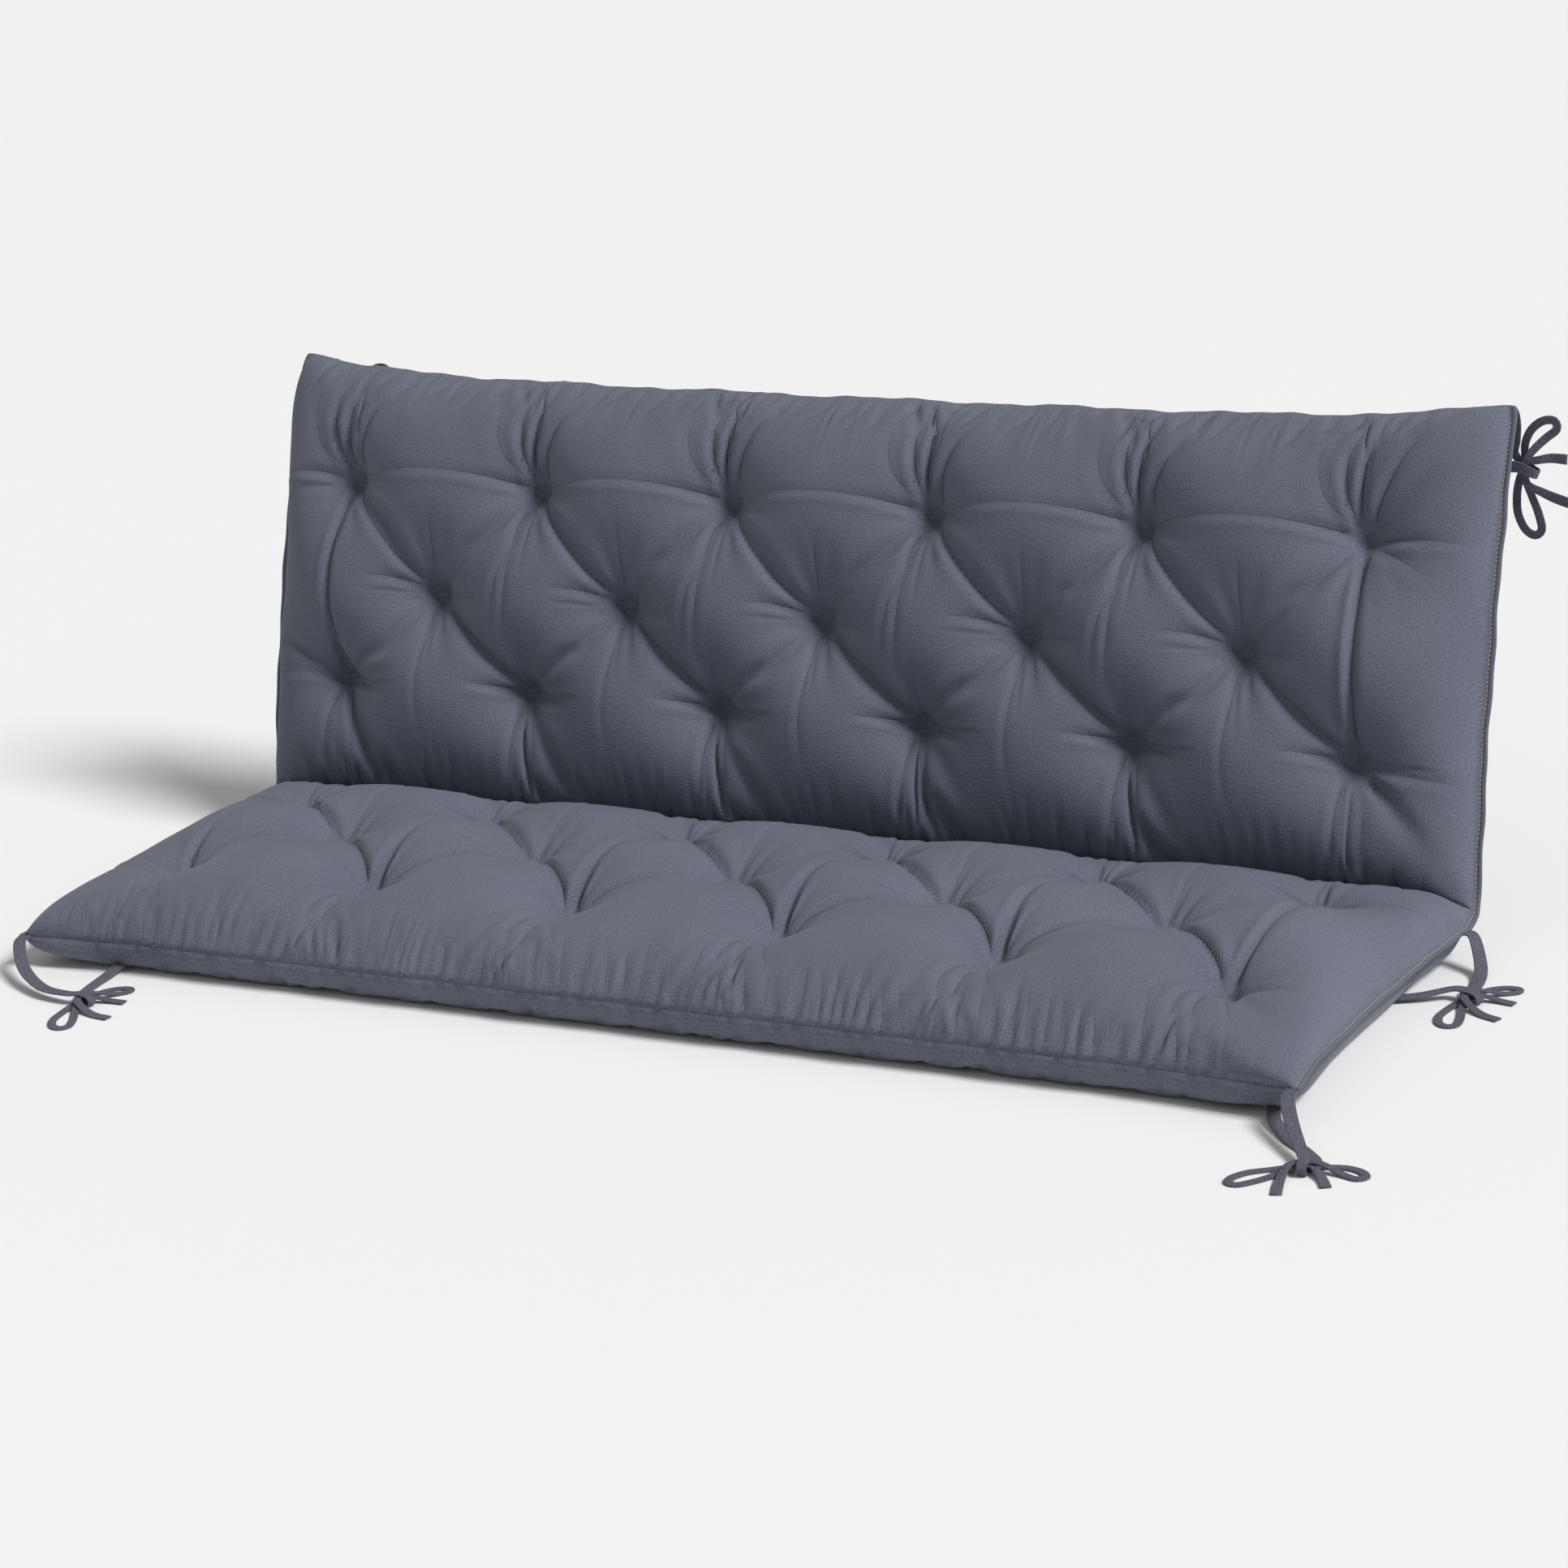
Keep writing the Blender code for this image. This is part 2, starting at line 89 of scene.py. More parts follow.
# How far the seams are drawn in, how soon that is reached from a corner, and how the top corners are rounded.
CORNER_REACH = {"side": 0.075, "seat fold": 0.20, "top": 0.120, "front": 0.075}
SIDE_DRAW = {"seat left": 0.004, "seat right": 0.019, "back left": -0.013, "back right": 0.008}
BACK_SHIFT = 0.010
CORNER_ROUND = {"cut": 0.0045, "reach": 0.010, "inside": 0.030}
TOP_DRAW = 0.026
FRONT_DRAW = 0.014

# ---- how the cloth settles ----
# The crown that the cloth is cut to, the extra cloth beyond it, and the cloth gathered at each seam.
CUT_CROWN = 0.040
EASE = {"across": 0.045, "along": 0.045, "end folds": 0.05, "outer rows": 0.02}
# How far each share of extra cloth reaches from the seam, the fold or the tufts that it belongs to.
EASE_REACH = {"side": 0.11, "rim": 0.10, "fold across": 0.06, "fold along": 0.05, "panel": 0.04,
              "ends": 0.035, "rows": 0.03}
SIDE_POWER = 1.5
FOLD_LEAST = 0.3
RIM_LEAST = 0.4
GATHER_SIDE = 0.08
GATHERS = {"front": 0.075, "top": 0.09, "fold": 0.06, "reach": 0.055}
LINE_CROWDING = 0.35
COLUMN_CELLS = [4, 24] + [28] * 10 + [24, 4]
ROW_CELLS = [32, 32, 24, 24, 32, 24, 28, 32]
# Each stage's grid step, its rounds, its push per round, its share of the gathers and its first ripple.
FRONT_ROUNDS = (
    {"step": 4, "rounds": 800, "push": 1.0e-4, "gathers": 0.0, "ripple": 0.0},
    {"step": 2, "rounds": 400, "push": 2.0e-5, "gathers": 0.5, "ripple": 0.0004},
    {"step": 1, "rounds": 300, "push": 4.0e-6, "gathers": 1.0, "ripple": 0.0004},
)
REAR_EASE = {"across": 0.012, "along": 0.012, "end folds": 0.0, "outer rows": 0.0}
REAR_GATHERS = {"front": 0.03, "top": 0.03, "fold": 0.03, "reach": 0.04}
REAR_ROUNDS = (
    {"step": 4, "rounds": 300, "push": 4.0e-5, "gathers": 0.0, "ripple": 0.0},
    {"step": 2, "rounds": 250, "push": 8.0e-6, "gathers": 1.0, "ripple": 0.0003},
)
# Where a tape is sewn to the underside, and its cloth stays as it was cut.
SEWN_SPOT = {"x": 0.716, "s": 0.024, "reach": 0.032}
DRAG = 0.90
STIFFNESS = 0.010
SLANT_GIVE = 0.5
FOLD_CLEARANCE = 0.0006

# ---- the camera ----
CAMERA_AT = (2.2551, -3.9402, 1.5804)
CAMERA_AZIMUTH = math.radians(29.374)
CAMERA_ELEVATION = math.radians(17.286)
CAMERA_ROLL = math.radians(-4.214)
LENS = 102.0
SENSOR = 36.0
CLIP_END = 60.0

# ---- the cloths ----
# The scale and the detail of the noise that lets the ribs wander, breaks them into floats and clouds the dye.
WANDER_NOISE = (60.0, 2.0)
FLOAT_NOISE = (1.0, 1.0)
CLOUD_NOISE = (6.0, 4.0)
WANDER_TURNS = 1.1
RIB_SHARE = 0.13
WEAVE_SHARE = 0.6
CLOUD_SHARE = 0.4
TONE_RANGE = {"From Min": 0.30, "From Max": 0.70}
ROUGHNESS_RANGE = {"To Min": 0.96, "To Max": 0.82}
# A sharp fold's groove and the painted shade along it; the cloths' dyes, their counts of threads and their
# relief's depth.
FOLD_GROOVE = {"depth": 0.0016, "reach": 0.0015, "painted_shade": 0.65, "painted_shade reach": 0.0011}
# Painted shade: the dark colour that the cloth is mixed towards inside a sharp fold, standing for its shadow.
FOLD_PAINTED_SHADE = (0.03, 0.033, 0.045, 1.0)
FIBRE = {"Metallic": 0.0, "Specular IOR Level": 0.25, "Sheen Weight": 0.1, "Sheen Roughness": 0.55}
CANVAS = {"Light": (0.146, 0.158, 0.203, 1.0), "Dark": (0.104, 0.114, 0.152, 1.0),
          "Ribs per metre": 430.0, "Floats per metre": 420.0, "Slant": 0.0}
TWILL = {"Light": (0.125, 0.130, 0.165, 1.0), "Dark": (0.062, 0.066, 0.090, 1.0),
         "Ribs per metre": 330.0, "Floats per metre": 420.0, "Slant": 1.0}
THREAD = {"Light": (0.62, 0.54, 0.31, 1.0), "Dark": (0.36, 0.31, 0.16, 1.0),
          "Ribs per metre": 900.0, "Floats per metre": 900.0, "Slant": 0.8}
CANVAS_RELIEF = 0.00042
TWILL_RELIEF = 0.0012
THREAD_RELIEF = 0.0001

# ---- the floor and the light ----
FLOOR_SIZE = 40.0
FLOOR_LOOK = {"Base Color": (0.90, 0.90, 0.90, 1.0), "Roughness": 0.9, "Specular IOR Level": 0.2}
KEY_LIGHT = 2.9
KEY_AZIMUTH = math.radians(84.0)
KEY_ELEVATION = math.radians(47.0)
KEY_SOFTNESS = math.radians(20.0)
ROOM_LIGHT = 0.32


def unit(value):
    """The value, kept between 0 and 1."""
    return np.clip(value, 0.0, 1.0)


def bell(distance, reach):
    """1 at no distance, falling away smoothly over the reach."""
    return np.exp(-((distance / reach) ** 2))


def direction(azimuth, elevation):
    """The unit vector towards an azimuth, counted from the front round to the right, and an elevation."""
    flat = math.cos(elevation)
    return Vector((math.sin(azimuth) * flat, -math.cos(azimuth) * flat, math.sin(elevation)))


# ---- camera ----
def make_camera():
    """A level camera turned to its azimuth and elevation, then rolled a little about its own axis."""
    back = direction(CAMERA_AZIMUTH, CAMERA_ELEVATION)
    right = (-back).cross(Vector((0.0, 0.0, 1.0))).normalized()
    up = right.cross(-back)
    c, s = math.cos(CAMERA_ROLL), math.sin(CAMERA_ROLL)
    turned = Matrix((c * right + s * up, c * up - s * right, back)).transposed().to_4x4()
    turned.translation = CAMERA_AT
    data = bpy.data.cameras.new("camera")
    data.sensor_width = SENSOR
    data.lens = LENS
    data.clip_end = CLIP_END
    camera = bpy.data.objects.new("camera", data)
    camera.matrix_world = turned
    bpy.context.scene.collection.objects.link(camera)
    bpy.context.scene.camera = camera


# ---- materials ----
def feed(tree, socket, value):
    """Links another node's output to a socket, or sets the socket's own value."""
    if isinstance(value, bpy.types.NodeSocket):
        tree.links.new(value, socket)
    else:
        socket.default_value = value


def node(tree, kind, inputs, **settings):
    """A new node with its settings, and its inputs fed by name."""
    made = tree.nodes.new(kind)
    for key, value in settings.items():
        setattr(made, key, value)
    for key, value in inputs.items():
        feed(tree, made.inputs[key], value)
    return made


def math_node(tree, operation, *values):
    made = node(tree, "ShaderNodeMath", {}, operation=operation)
    for socket, value in zip(made.inputs, values):
        feed(tree, socket, value)
    return made.outputs[0]


def noise(tree, place, scale, detail):
    inputs = {"Vector": place, "Scale": scale, "Detail": detail}
    return node(tree, "ShaderNodeTexNoise", inputs, noise_dimensions="2D").outputs["Fac"]


def mixed(tree, share, a, b):
    inputs = {"Factor": share, "A": a, "B": b}
    return node(tree, "ShaderNodeMix", inputs, data_type="RGBA").outputs["Result"]


def new_group(name, inputs, outputs):
    """An empty node group, with the sockets that it takes and gives, each as its name and its kind."""
    group = bpy.data.node_groups.new(name, "ShaderNodeTree")
    for way, sockets in (("INPUT", inputs), ("OUTPUT", outputs)):
        for key, kind in sockets.items():
            group.interface.new_socket(name=key, in_out=way, socket_type="NodeSocket" + kind)
    return group, node(group, "NodeGroupInput", {}).outputs, node(group, "NodeGroupOutput", {}).inputs


def weave_group():
    """Woven ribs broken into short floats, with an uneven dye; a slant turns the ribs into a herringbone."""
    takes = {"Cloth": "Vector", "Ribs per metre": "Float", "Floats per metre": "Float", "Slant": "Float",
             "Light": "Color", "Dark": "Color"}
    gives = {"Color": "Color", "Height": "Float", "Roughness": "Float"}
    group, inside, out = new_group("woven cloth", takes, gives)

    def times(a, b):
        return math_node(group, "MULTIPLY", a, b)

    def plus(a, b):
        return math_node(group, "ADD", a, b)

    split = node(group, "ShaderNodeSeparateXYZ", {"Vector": inside["Cloth"]}).outputs
    lean = times(math_node(group, "ABSOLUTE", split["X"]), inside["Slant"])
    run = times(plus(split["Y"], lean), inside["Ribs per metre"])
    across = times(split["X"], inside["Floats per metre"])
    turn = plus(run, times(noise(group, inside["Cloth"], *WANDER_NOISE), WANDER_TURNS))
    rib = math_node(group, "SINE", times(turn, 2.0 * math.pi))
    place = node(group, "ShaderNodeCombineXYZ", {"X": across, "Y": run}).outputs[0]
    floats = noise(group, place, *FLOAT_NOISE)
    height = plus(floats, times(rib, RIB_SHARE))
    cloud = noise(group, inside["Cloth"], *CLOUD_NOISE)
    grain = plus(times(height, WEAVE_SHARE), times(cloud, CLOUD_SHARE))
    tone = node(group, "ShaderNodeMapRange", {"Value": grain, **TONE_RANGE}).outputs["Result"]
    rough = node(group, "ShaderNodeMapRange", {"Value": floats, **ROUGHNESS_RANGE}).outputs["Result"]
    feed(group, out["Color"], mixed(group, tone, inside["Dark"], inside["Light"]))
    feed(group, out["Height"], height)
    feed(group, out["Roughness"], rough)
    return group


def fold_and_painted_shade_group():
    """A sharp fold in the cloth, from its signed distance and its strength: a fine groove, and painted shade
    darkening the colour inside it.
    """
    takes = {"Fold": "Vector", "Color": "Color", "Height": "Float"}
    group, inside, out = new_group("sharp fold with painted shade", takes, {"Color": "Color", "Height": "Float"})
    split = node(group, "ShaderNodeSeparateXYZ", {"Vector": inside["Fold"]}).outputs
    away = math_node(group, "ABSOLUTE", split["X"])

    def faded(reach, most):
        fade = math_node(group, "EXPONENT", math_node(group, "DIVIDE", away, -reach))
        return math_node(group, "MULTIPLY", math_node(group, "MULTIPLY", fade, split["Y"]), most)

    sunk = faded(FOLD_GROOVE["reach"], FOLD_GROOVE["depth"])
    # Painted shade: the colour is darkened along the fold, where its shadow would fall.
    painted_shade = faded(FOLD_GROOVE["painted_shade reach"], FOLD_GROOVE["painted_shade"])
    feed(group, out["Height"], math_node(group, "SUBTRACT", inside["Height"], sunk))
    feed(group, out["Color"], mixed(group, painted_shade, inside["Color"], FOLD_PAINTED_SHADE))
    return group


def add_folds_and_painted_shade(look, folds):
    """Lays the sharp folds over a cloth's relief, and paints their shade into its colour."""
    tree = look.node_tree
    shader = tree.nodes["Principled BSDF"]
    relief = shader.inputs["Normal"].links[0].from_node
    weave = relief.inputs["Height"].links[0].from_socket
    takes = {
        "Fold": node(tree, "ShaderNodeUVMap", {}, uv_map="folds").outputs["UV"],
        "Color": shader.inputs["Base Color"].links[0].from_socket,
        "Height": math_node(tree, "MULTIPLY", weave, relief.inputs["Distance"].default_value),
    }
    laid = node(tree, "ShaderNodeGroup", takes, node_tree=folds).outputs
    relief.inputs["Distance"].default_value = 1.0
    feed(tree, shader.inputs["Base Color"], laid["Color"])
    feed(tree, relief.inputs["Height"], laid["Height"])


def new_material(name, inputs):
    """A new material, its shader's inputs set by name."""
    made = bpy.data.materials.new(name)
    made.use_nodes = True
    for key, value in inputs.items():
        made.node_tree.nodes["Principled BSDF"].inputs[key].default_value = value
    return made


def cloth_material(name, weave, cloth, depth):
    """A woven cloth, from its dyes and its count of threads, with its weave standing up to a depth."""
    made = new_material(name, FIBRE)
    tree = made.node_tree
    place = node(tree, "ShaderNodeUVMap", {}, uv_map="cloth").outputs["UV"]
    woven = node(tree, "ShaderNodeGroup", {"Cloth": place, **cloth}, node_tree=weave).outputs
    relief = node(tree, "ShaderNodeBump", {"Strength": 1.0, "Distance": depth, "Height": woven["Height"]})
    shader = tree.nodes["Principled BSDF"].inputs
    feed(tree, shader["Base Color"], woven["Color"])
    feed(tree, shader["Roughness"], woven["Roughness"])
    feed(tree, shader["Normal"], relief.outputs["Normal"])
    return made


# ---- the tapes ----
TAPE_THICKNESS = 0.0020
TAPE_FLOOR_GAP = 0.0004
LAYER = 0.0027
STRAP_WIDTH = 0.0140
STATION = 0.0032
# A tape turns level by this share over this length.
LEVELLING = {"share": 0.35, "over": 0.0062}
SEWN_IN = 0.006
# A tape in its knot: its place to the side of the knot and above it, the layer it lies in, and its width.
UNDER_TAPE = (
    (0.008, 0.016, 0.95, 0.01),
    (0.002, 0.005, 1.0, 0.008),
    (-0.006, 0.0005, 1.0, 0.008),
    (-0.016, -0.0005, 0.75, 0.0085),
    (-0.032, -0.004, 0.0, 0.009),
    (-0.05, -0.013, 0.0, 0.009),
    (-0.062, -0.027, 0.0, 0.009),
    (-0.063, -0.039, 0.0, 0.009),
    (-0.054, -0.043, 0.0, 0.009),
    (-0.04, -0.033, 0.0, 0.009),
    (-0.027, -0.02, 0.2, 0.0085),
    (-0.014, -0.009, 1.7, 0.008),
    (-0.003, -0.002, 2.0, 0.008),
    (0.007, -0.003, 2.0, 0.008),
    (0.014, -0.011, 1.6, 0.0085),
    (0.021, -0.022, 0.4, 0.01),
    (0.027, -0.037, 0.0, 0.011),
)
OVER_TAPE = (
    (-0.006, 0.018, 3.6, 0.012),
    (-0.001, 0.005, 4.0, 0.012),
    (0.0, -0.006, 4.05, 0.011),
    (0.0, -0.014, 3.5, 0.01),
    (0.0, -0.0168, 2.0, 0.01),
    (0.0, -0.014, 0.5, 0.01),
    (0.0005, -0.008, 0.0, 0.009),
    (0.003, -0.001, 0.0, 0.008),
    (0.01, 0.005, 0.0, 0.008),
    (0.022, 0.01, 0.0, 0.0085),
    (0.038, 0.01, 0.0, 0.009),
    (0.052, 0.003, 0.0, 0.009),
    (0.058, -0.008, 0.0, 0.009),
    (0.051, -0.014, 0.0, 0.009),
    (0.038, -0.008, 0.2, 0.009),
    (0.025, -0.003, 1.7, 0.0085),
    (0.013, 0.0, 3.0, 0.008),
    (0.002, 0.0005, 3.0, 0.008),
    (-0.008, -0.0025, 3.0, 0.008),
    (-0.0145, -0.0125, 2.75, 0.008),
    (-0.0165, -0.028, 0.8, 0.0095),
    (-0.0165, -0.042, 0.0, 0.011),
    (-0.014, -0.06, 0.0, 0.011),
)
# A bow's knot, its heading in degrees, and the two straps' points from the pad's edge to the knot.
BOWS = {
    "front_left": {
        "knot": (-0.604, -0.4169, 0.0),
        "turn": 75.0,
        "hangs": False,
        "over": ((-0.736, -0.3392, 0.037), (-0.733, -0.3529, 0.033), (-0.704, -0.3849, 0.019),
                 (-0.662, -0.4099, 0.011)),
        "under": ((-0.628, -0.3129, 0.0086), (-0.6275, -0.3349, 0.005), (-0.627, -0.3699, 0.0015)),
    },
    "front_right": {
        "knot": (0.798, -0.4349, 0.0),
        "turn": 10.0,
        "hangs": False,
        "over": ((0.748, -0.3386, 0.037), (0.749, -0.3519, 0.0345), (0.763, -0.3789, 0.024)),
        "under": ((0.7187, -0.3149, 0.0091), (0.7305, -0.3402, 0.0045), (0.7563, -0.3712, 0.0015),
                  (0.7803, -0.3923, 0.0015)),
    },
    "fold_right": {
        "knot": (0.791, 0.0251, 0.0),
        "turn": 60.0,
        "hangs": False,
        "over": ((0.726, 0.0051, 0.0052), (0.746, 0.0151, 0.0066)),
        "under": ((0.7526, 0.1251, 0.037), (0.764, 0.1191, 0.033), (0.778, 0.0971, 0.009),
                  (0.783, 0.0651, 0.0016)),
    },
    "fold_left": {
        "knot": (-0.694, 0.2651, 0.0),
        "turn": 180.0,
        "hangs": False,
        "over": ((-0.743, 0.0951, 0.037), (-0.754, 0.0961, 0.039), (-0.768, 0.1131, 0.039),
                 (-0.773, 0.1501, 0.023), (-0.768, 0.1851, 0.018), (-0.734, 0.2101, 0.015),
                 (-0.696, 0.2201, 0.013)),
        "under": ((-0.7446, 0.1201, 0.037), (-0.754, 0.1241, 0.034), (-0.762, 0.1451, 0.014),
                  (-0.76, 0.1851, 0.0026), (-0.739, 0.2251, 0.0016)),
    },
    "top_right": {
        "knot": (0.749, 0.348, 0.473),
        "turn": 65.0,
        "hangs": True,
        "over": ((0.722, 0.3233, 0.536), (0.722, 0.3292, 0.5342), (0.7215, 0.336, 0.527),
                 (0.719, 0.3405, 0.508), (0.72, 0.3395, 0.488)),
        "under": ((0.741, 0.3228, 0.539), (0.741, 0.3286, 0.5372), (0.741, 0.335, 0.53),
                  (0.7405, 0.34, 0.516), (0.7385, 0.3425, 0.5)),
    },
    "top_left": {
        "knot": (-0.695, 0.3551, 0.4745),
        "turn": 60.0,
        "hangs": True,
        "over": ((-0.734, 0.3228, 0.538), (-0.734, 0.3288, 0.5362), (-0.734, 0.337, 0.527),
                 (-0.731, 0.343, 0.508), (-0.724, 0.3445, 0.491)),
        "under": ((-0.715, 0.324, 0.536), (-0.715, 0.33, 0.5342), (-0.715, 0.338, 0.527),
                  (-0.713, 0.348, 0.508)),
    },
}
# Half of a tape's section, as shares of its half width and half thickness: flat faces and a rounded selvedge.
TAPE_SECTION = (
    (-1.0, -0.45), (-0.93, -0.95), (-0.80, -1.0), (0.0, -0.92), (0.80, -1.0), (0.93, -0.95), (1.0, -0.45)
)


def placed(bow, row):
    """A point of the bow's table in world space: laid on the floor, or upright where it hangs."""
    angle = math.radians(bow["turn"])
    x, y, layer, _ = row
    across = x * math.cos(angle) - y * math.sin(angle)
    along = x * math.sin(angle) + y * math.cos(angle)
    kx, ky, kz = bow["knot"]
    lift = TAPE_FLOOR_GAP + TAPE_THICKNESS / 2 + layer * LAYER
    if bow["hangs"]:
        return (kx + across, ky - lift, kz + along)
    return (kx + across, ky + along, kz + lift)


def with_ends(points):
    """The points with one more beyond each end, for a Catmull-Rom curve through them all."""
    return np.vstack([2 * points[0] - points[1], points, 2 * points[-1] - points[-2]])


def curve_place(a, b, c, d, t):
    """The place at share t from b to c on the Catmull-Rom curve through four points."""
    return (2 * b + (c - a) * t + (2 * a - 5 * b + 4 * c - d) * t**2 + (3 * b - a - 3 * c + d) * t**3) / 2


def smooth_route(points, widths):
    """Stations along a Catmull-Rom curve through the points, about STATION apart, as (places, widths)."""
    points = np.array(points)
    ends = with_ends(points)
    places, sizes = [], []
    for i in range(len(points) - 1):
        a, b, c, d = ends[i : i + 4]
        steps = max(1, round(float(np.linalg.norm(c - b)) / STATION))
        for k in range(steps):
            t = k / steps
            places.append(curve_place(a, b, c, d, t))
            sizes.append(widths[i] + (widths[i + 1] - widths[i]) * t)
    return np.array(places + [points[-1]]), np.array(sizes + [widths[-1]])


def side_directions(places, flat):
    """The tape's width direction at each station: carried along, and eased level with the face it lies on."""
    ease = 1.0 - (1.0 - LEVELLING["share"]) ** (STATION / LEVELLING["over"])
    runs = np.gradient(places, axis=0)
    runs /= np.linalg.norm(runs, axis=1)[:, None]
    sides, side = [], np.cross(flat, runs[0])
    for run in runs:
        side = side - flat * np.dot(side, flat) * ease
        side = side - run * np.dot(side, run)
        side = side / np.linalg.norm(side)
        sides.append(side)
    return runs, np.array(sides)


def write_layer(mesh, name, values):
    """Writes two values for each point into a layer that the materials read."""
    layer = mesh.uv_layers.new(name=name)
    index = np.empty(len(mesh.loops), np.int32)
    mesh.loops.foreach_get("vertex_index", index)
    layer.data.foreach_set("uv", np.array(values)[index].astype(np.float32).ravel())


def cloth_object(name, points, faces, cloth, look):
    """A smooth mesh of cloth, with each point's place on the flat cloth, in metres, for the weave."""
    mesh = bpy.data.meshes.new(name)
    mesh.from_pydata(points, [], faces)
    write_layer(mesh, "cloth", cloth)
    mesh.shade_smooth()
    made = bpy.data.objects.new(name, mesh)
    mesh.materials.append(look)
    bpy.context.scene.collection.objects.link(made)
    return made


def tube_faces(first, rings, sides):
    """The faces round a tube and at its two ends, for points that start at 'first'."""
    last = first + (rings - 1) * sides
    faces = []
    for a in range(first, last, sides):
        for k in range(sides):
            j = (k + 1) % sides
            faces.append((a + k, a + j, a + sides + j, a + sides + k))
    return faces + [(first, *range(first + sides - 1, first, -1)), tuple(range(last, last + sides))]


def make_tape(name, bow, roots, table, look):
    """One tape, sewn in at its root, that runs through the knot, round its loop and out to its free end."""
    points = list(roots) + [placed(bow, row) for row in table]
    widths = [STRAP_WIDTH] * len(roots) + [width for _, _, _, width in table]
    route, widths = smooth_route(points, widths)
    inward = (route[0] - route[1]) * (1.0, 1.0, 1.0 if bow["hangs"] else 0.0)
    places = np.vstack([route[0] + inward / np.linalg.norm(inward) * SEWN_IN, route])
    widths = np.concatenate([widths[:1], widths])
    flat = np.array((0.0, -1.0, 0.0) if bow["hangs"] else (0.0, 0.0, 1.0))
    runs, sides = side_directions(places, flat)
    ups = np.cross(runs, sides)
    ring = list(TAPE_SECTION) + [(-a, -b) for a, b in TAPE_SECTION]
    reach = np.concatenate([[0.0], np.cumsum(np.linalg.norm(np.diff(places, axis=0), axis=1))])
    corners, cloth = [], []
    for place, side, up, width, run in zip(places, sides, ups, widths, reach):
        for a, b in ring:
            corners.append(tuple(place + side * a * width / 2 + up * b * TAPE_THICKNESS / 2))
            cloth.append((a * width / 2, run))
    made = cloth_object(name, corners, tube_faces(0, len(places), len(ring)), cloth, look)
    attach(made, "root")
    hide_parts("tape_" + name)


def make_tapes(look):
    for place, bow in BOWS.items():
        make_tape(f"{place}_over", bow, bow["over"], OVER_TAPE, look)
        make_tape(f"{place}_under", bow, bow["under"], UNDER_TAPE, look)


# ---- the pad's shape before it settles ----
def tuft_columns(row):
    """The tufts' places across the width: 6 in the outer rows of a panel, 5 in its middle row."""
    count = 5 if row in (1, 4) else 6
    return [TUFT_SHIFT + (i - (count - 1) / 2) * TUFT_PITCH for i in range(count)]


TUFTS = [(x, PANEL_ROWS[row]) for row in range(6) for x in tuft_columns(row)]


def crown_share(distance, reach):
    """0 at an edge and 1 from 'reach' inwards, steep at the edge like a filled pad's side."""
    t = unit(distance / reach)
    return (1.0 - (1.0 - t) ** CROWN_POWERS[0]) ** CROWN_POWERS[1]


def flange_half(x):
    """Half the thickness of the flat rim outside the topstitch, a little fuller over the turned-in edges."""
    t = unit((WIDTH / 2 - np.abs(x)) / STITCH_INSET)
    return FLANGE["rim"] + (FLANGE["stitch"] - FLANGE["rim"]) * t + FLANGE["bulge"] * np.sin(math.pi * t)


def waves(run, sizes):
    """How far a sewn edge wanders from its line."""
    return sum(size * np.sin(2.0 * math.pi * (run / length + start)) for size, length, start in sizes)


def dimpled(x, s, crown, tufts, dip):
    """A level crown with a dip at each of the tufts."""
    height = np.full(x.shape, crown)
    for tx, ts in tufts:
        near = unit(1.0 - np.hypot(x - tx, s - ts) / dip["reach"])
        height = np.minimum(height, crown - dip["drop"] * near ** dip["power"])
    return height


def rounded(x, s, height, side, edge):
    """The height, brought down to nothing at the topstitch and at the front and the top seam."""
    height = height * crown_share(WIDTH / 2 - np.abs(x) - STITCH_INSET, side - STITCH_INSET)
    return height * crown_share(s, edge) * crown_share(LENGTH - s, edge)


def front_height(x, s, crown, tufts):
    """Height of the front cloth above the seam's plane, at x across and s along the flat length."""
    height = dimpled(x, s, crown, tufts, TUFT_DIP)
    height = rounded(x, s, height, SIDE_ROUND, EDGE_ROUND)
    fold_limit = FOLD_SLOPE * np.abs(s - SEAT_DEPTH) + FOLD_THICKNESS
    blend = 1.0 / np.maximum(height, 1e-6) ** BLEND_POWER + 1.0 / fold_limit**BLEND_POWER
    height = 1.0 / blend ** (1.0 / BLEND_POWER)
    return np.maximum(height, flange_half(x))


def rear_height(x, s, tufts):
    """Depth of the rear cloth behind the seam's plane."""
    depth = dimpled(x, s, REAR_CROWN, tufts, REAR_TUFT_DIP)
    depth = rounded(x, s, depth, REAR_ROUND, REAR_ROUND)
    bend = unit(1.0 - np.abs(s - SEAT_DEPTH) / FOLD_ARC)
    return np.maximum(depth - REAR_FOLD_DROP * bend, flange_half(x))


def pull(distance, edge):
    """How much of an edge's drawing-in is reached at this distance from a corner."""
    return 1.0 - np.exp(-np.maximum(distance, 0.0) / CORNER_REACH[edge])


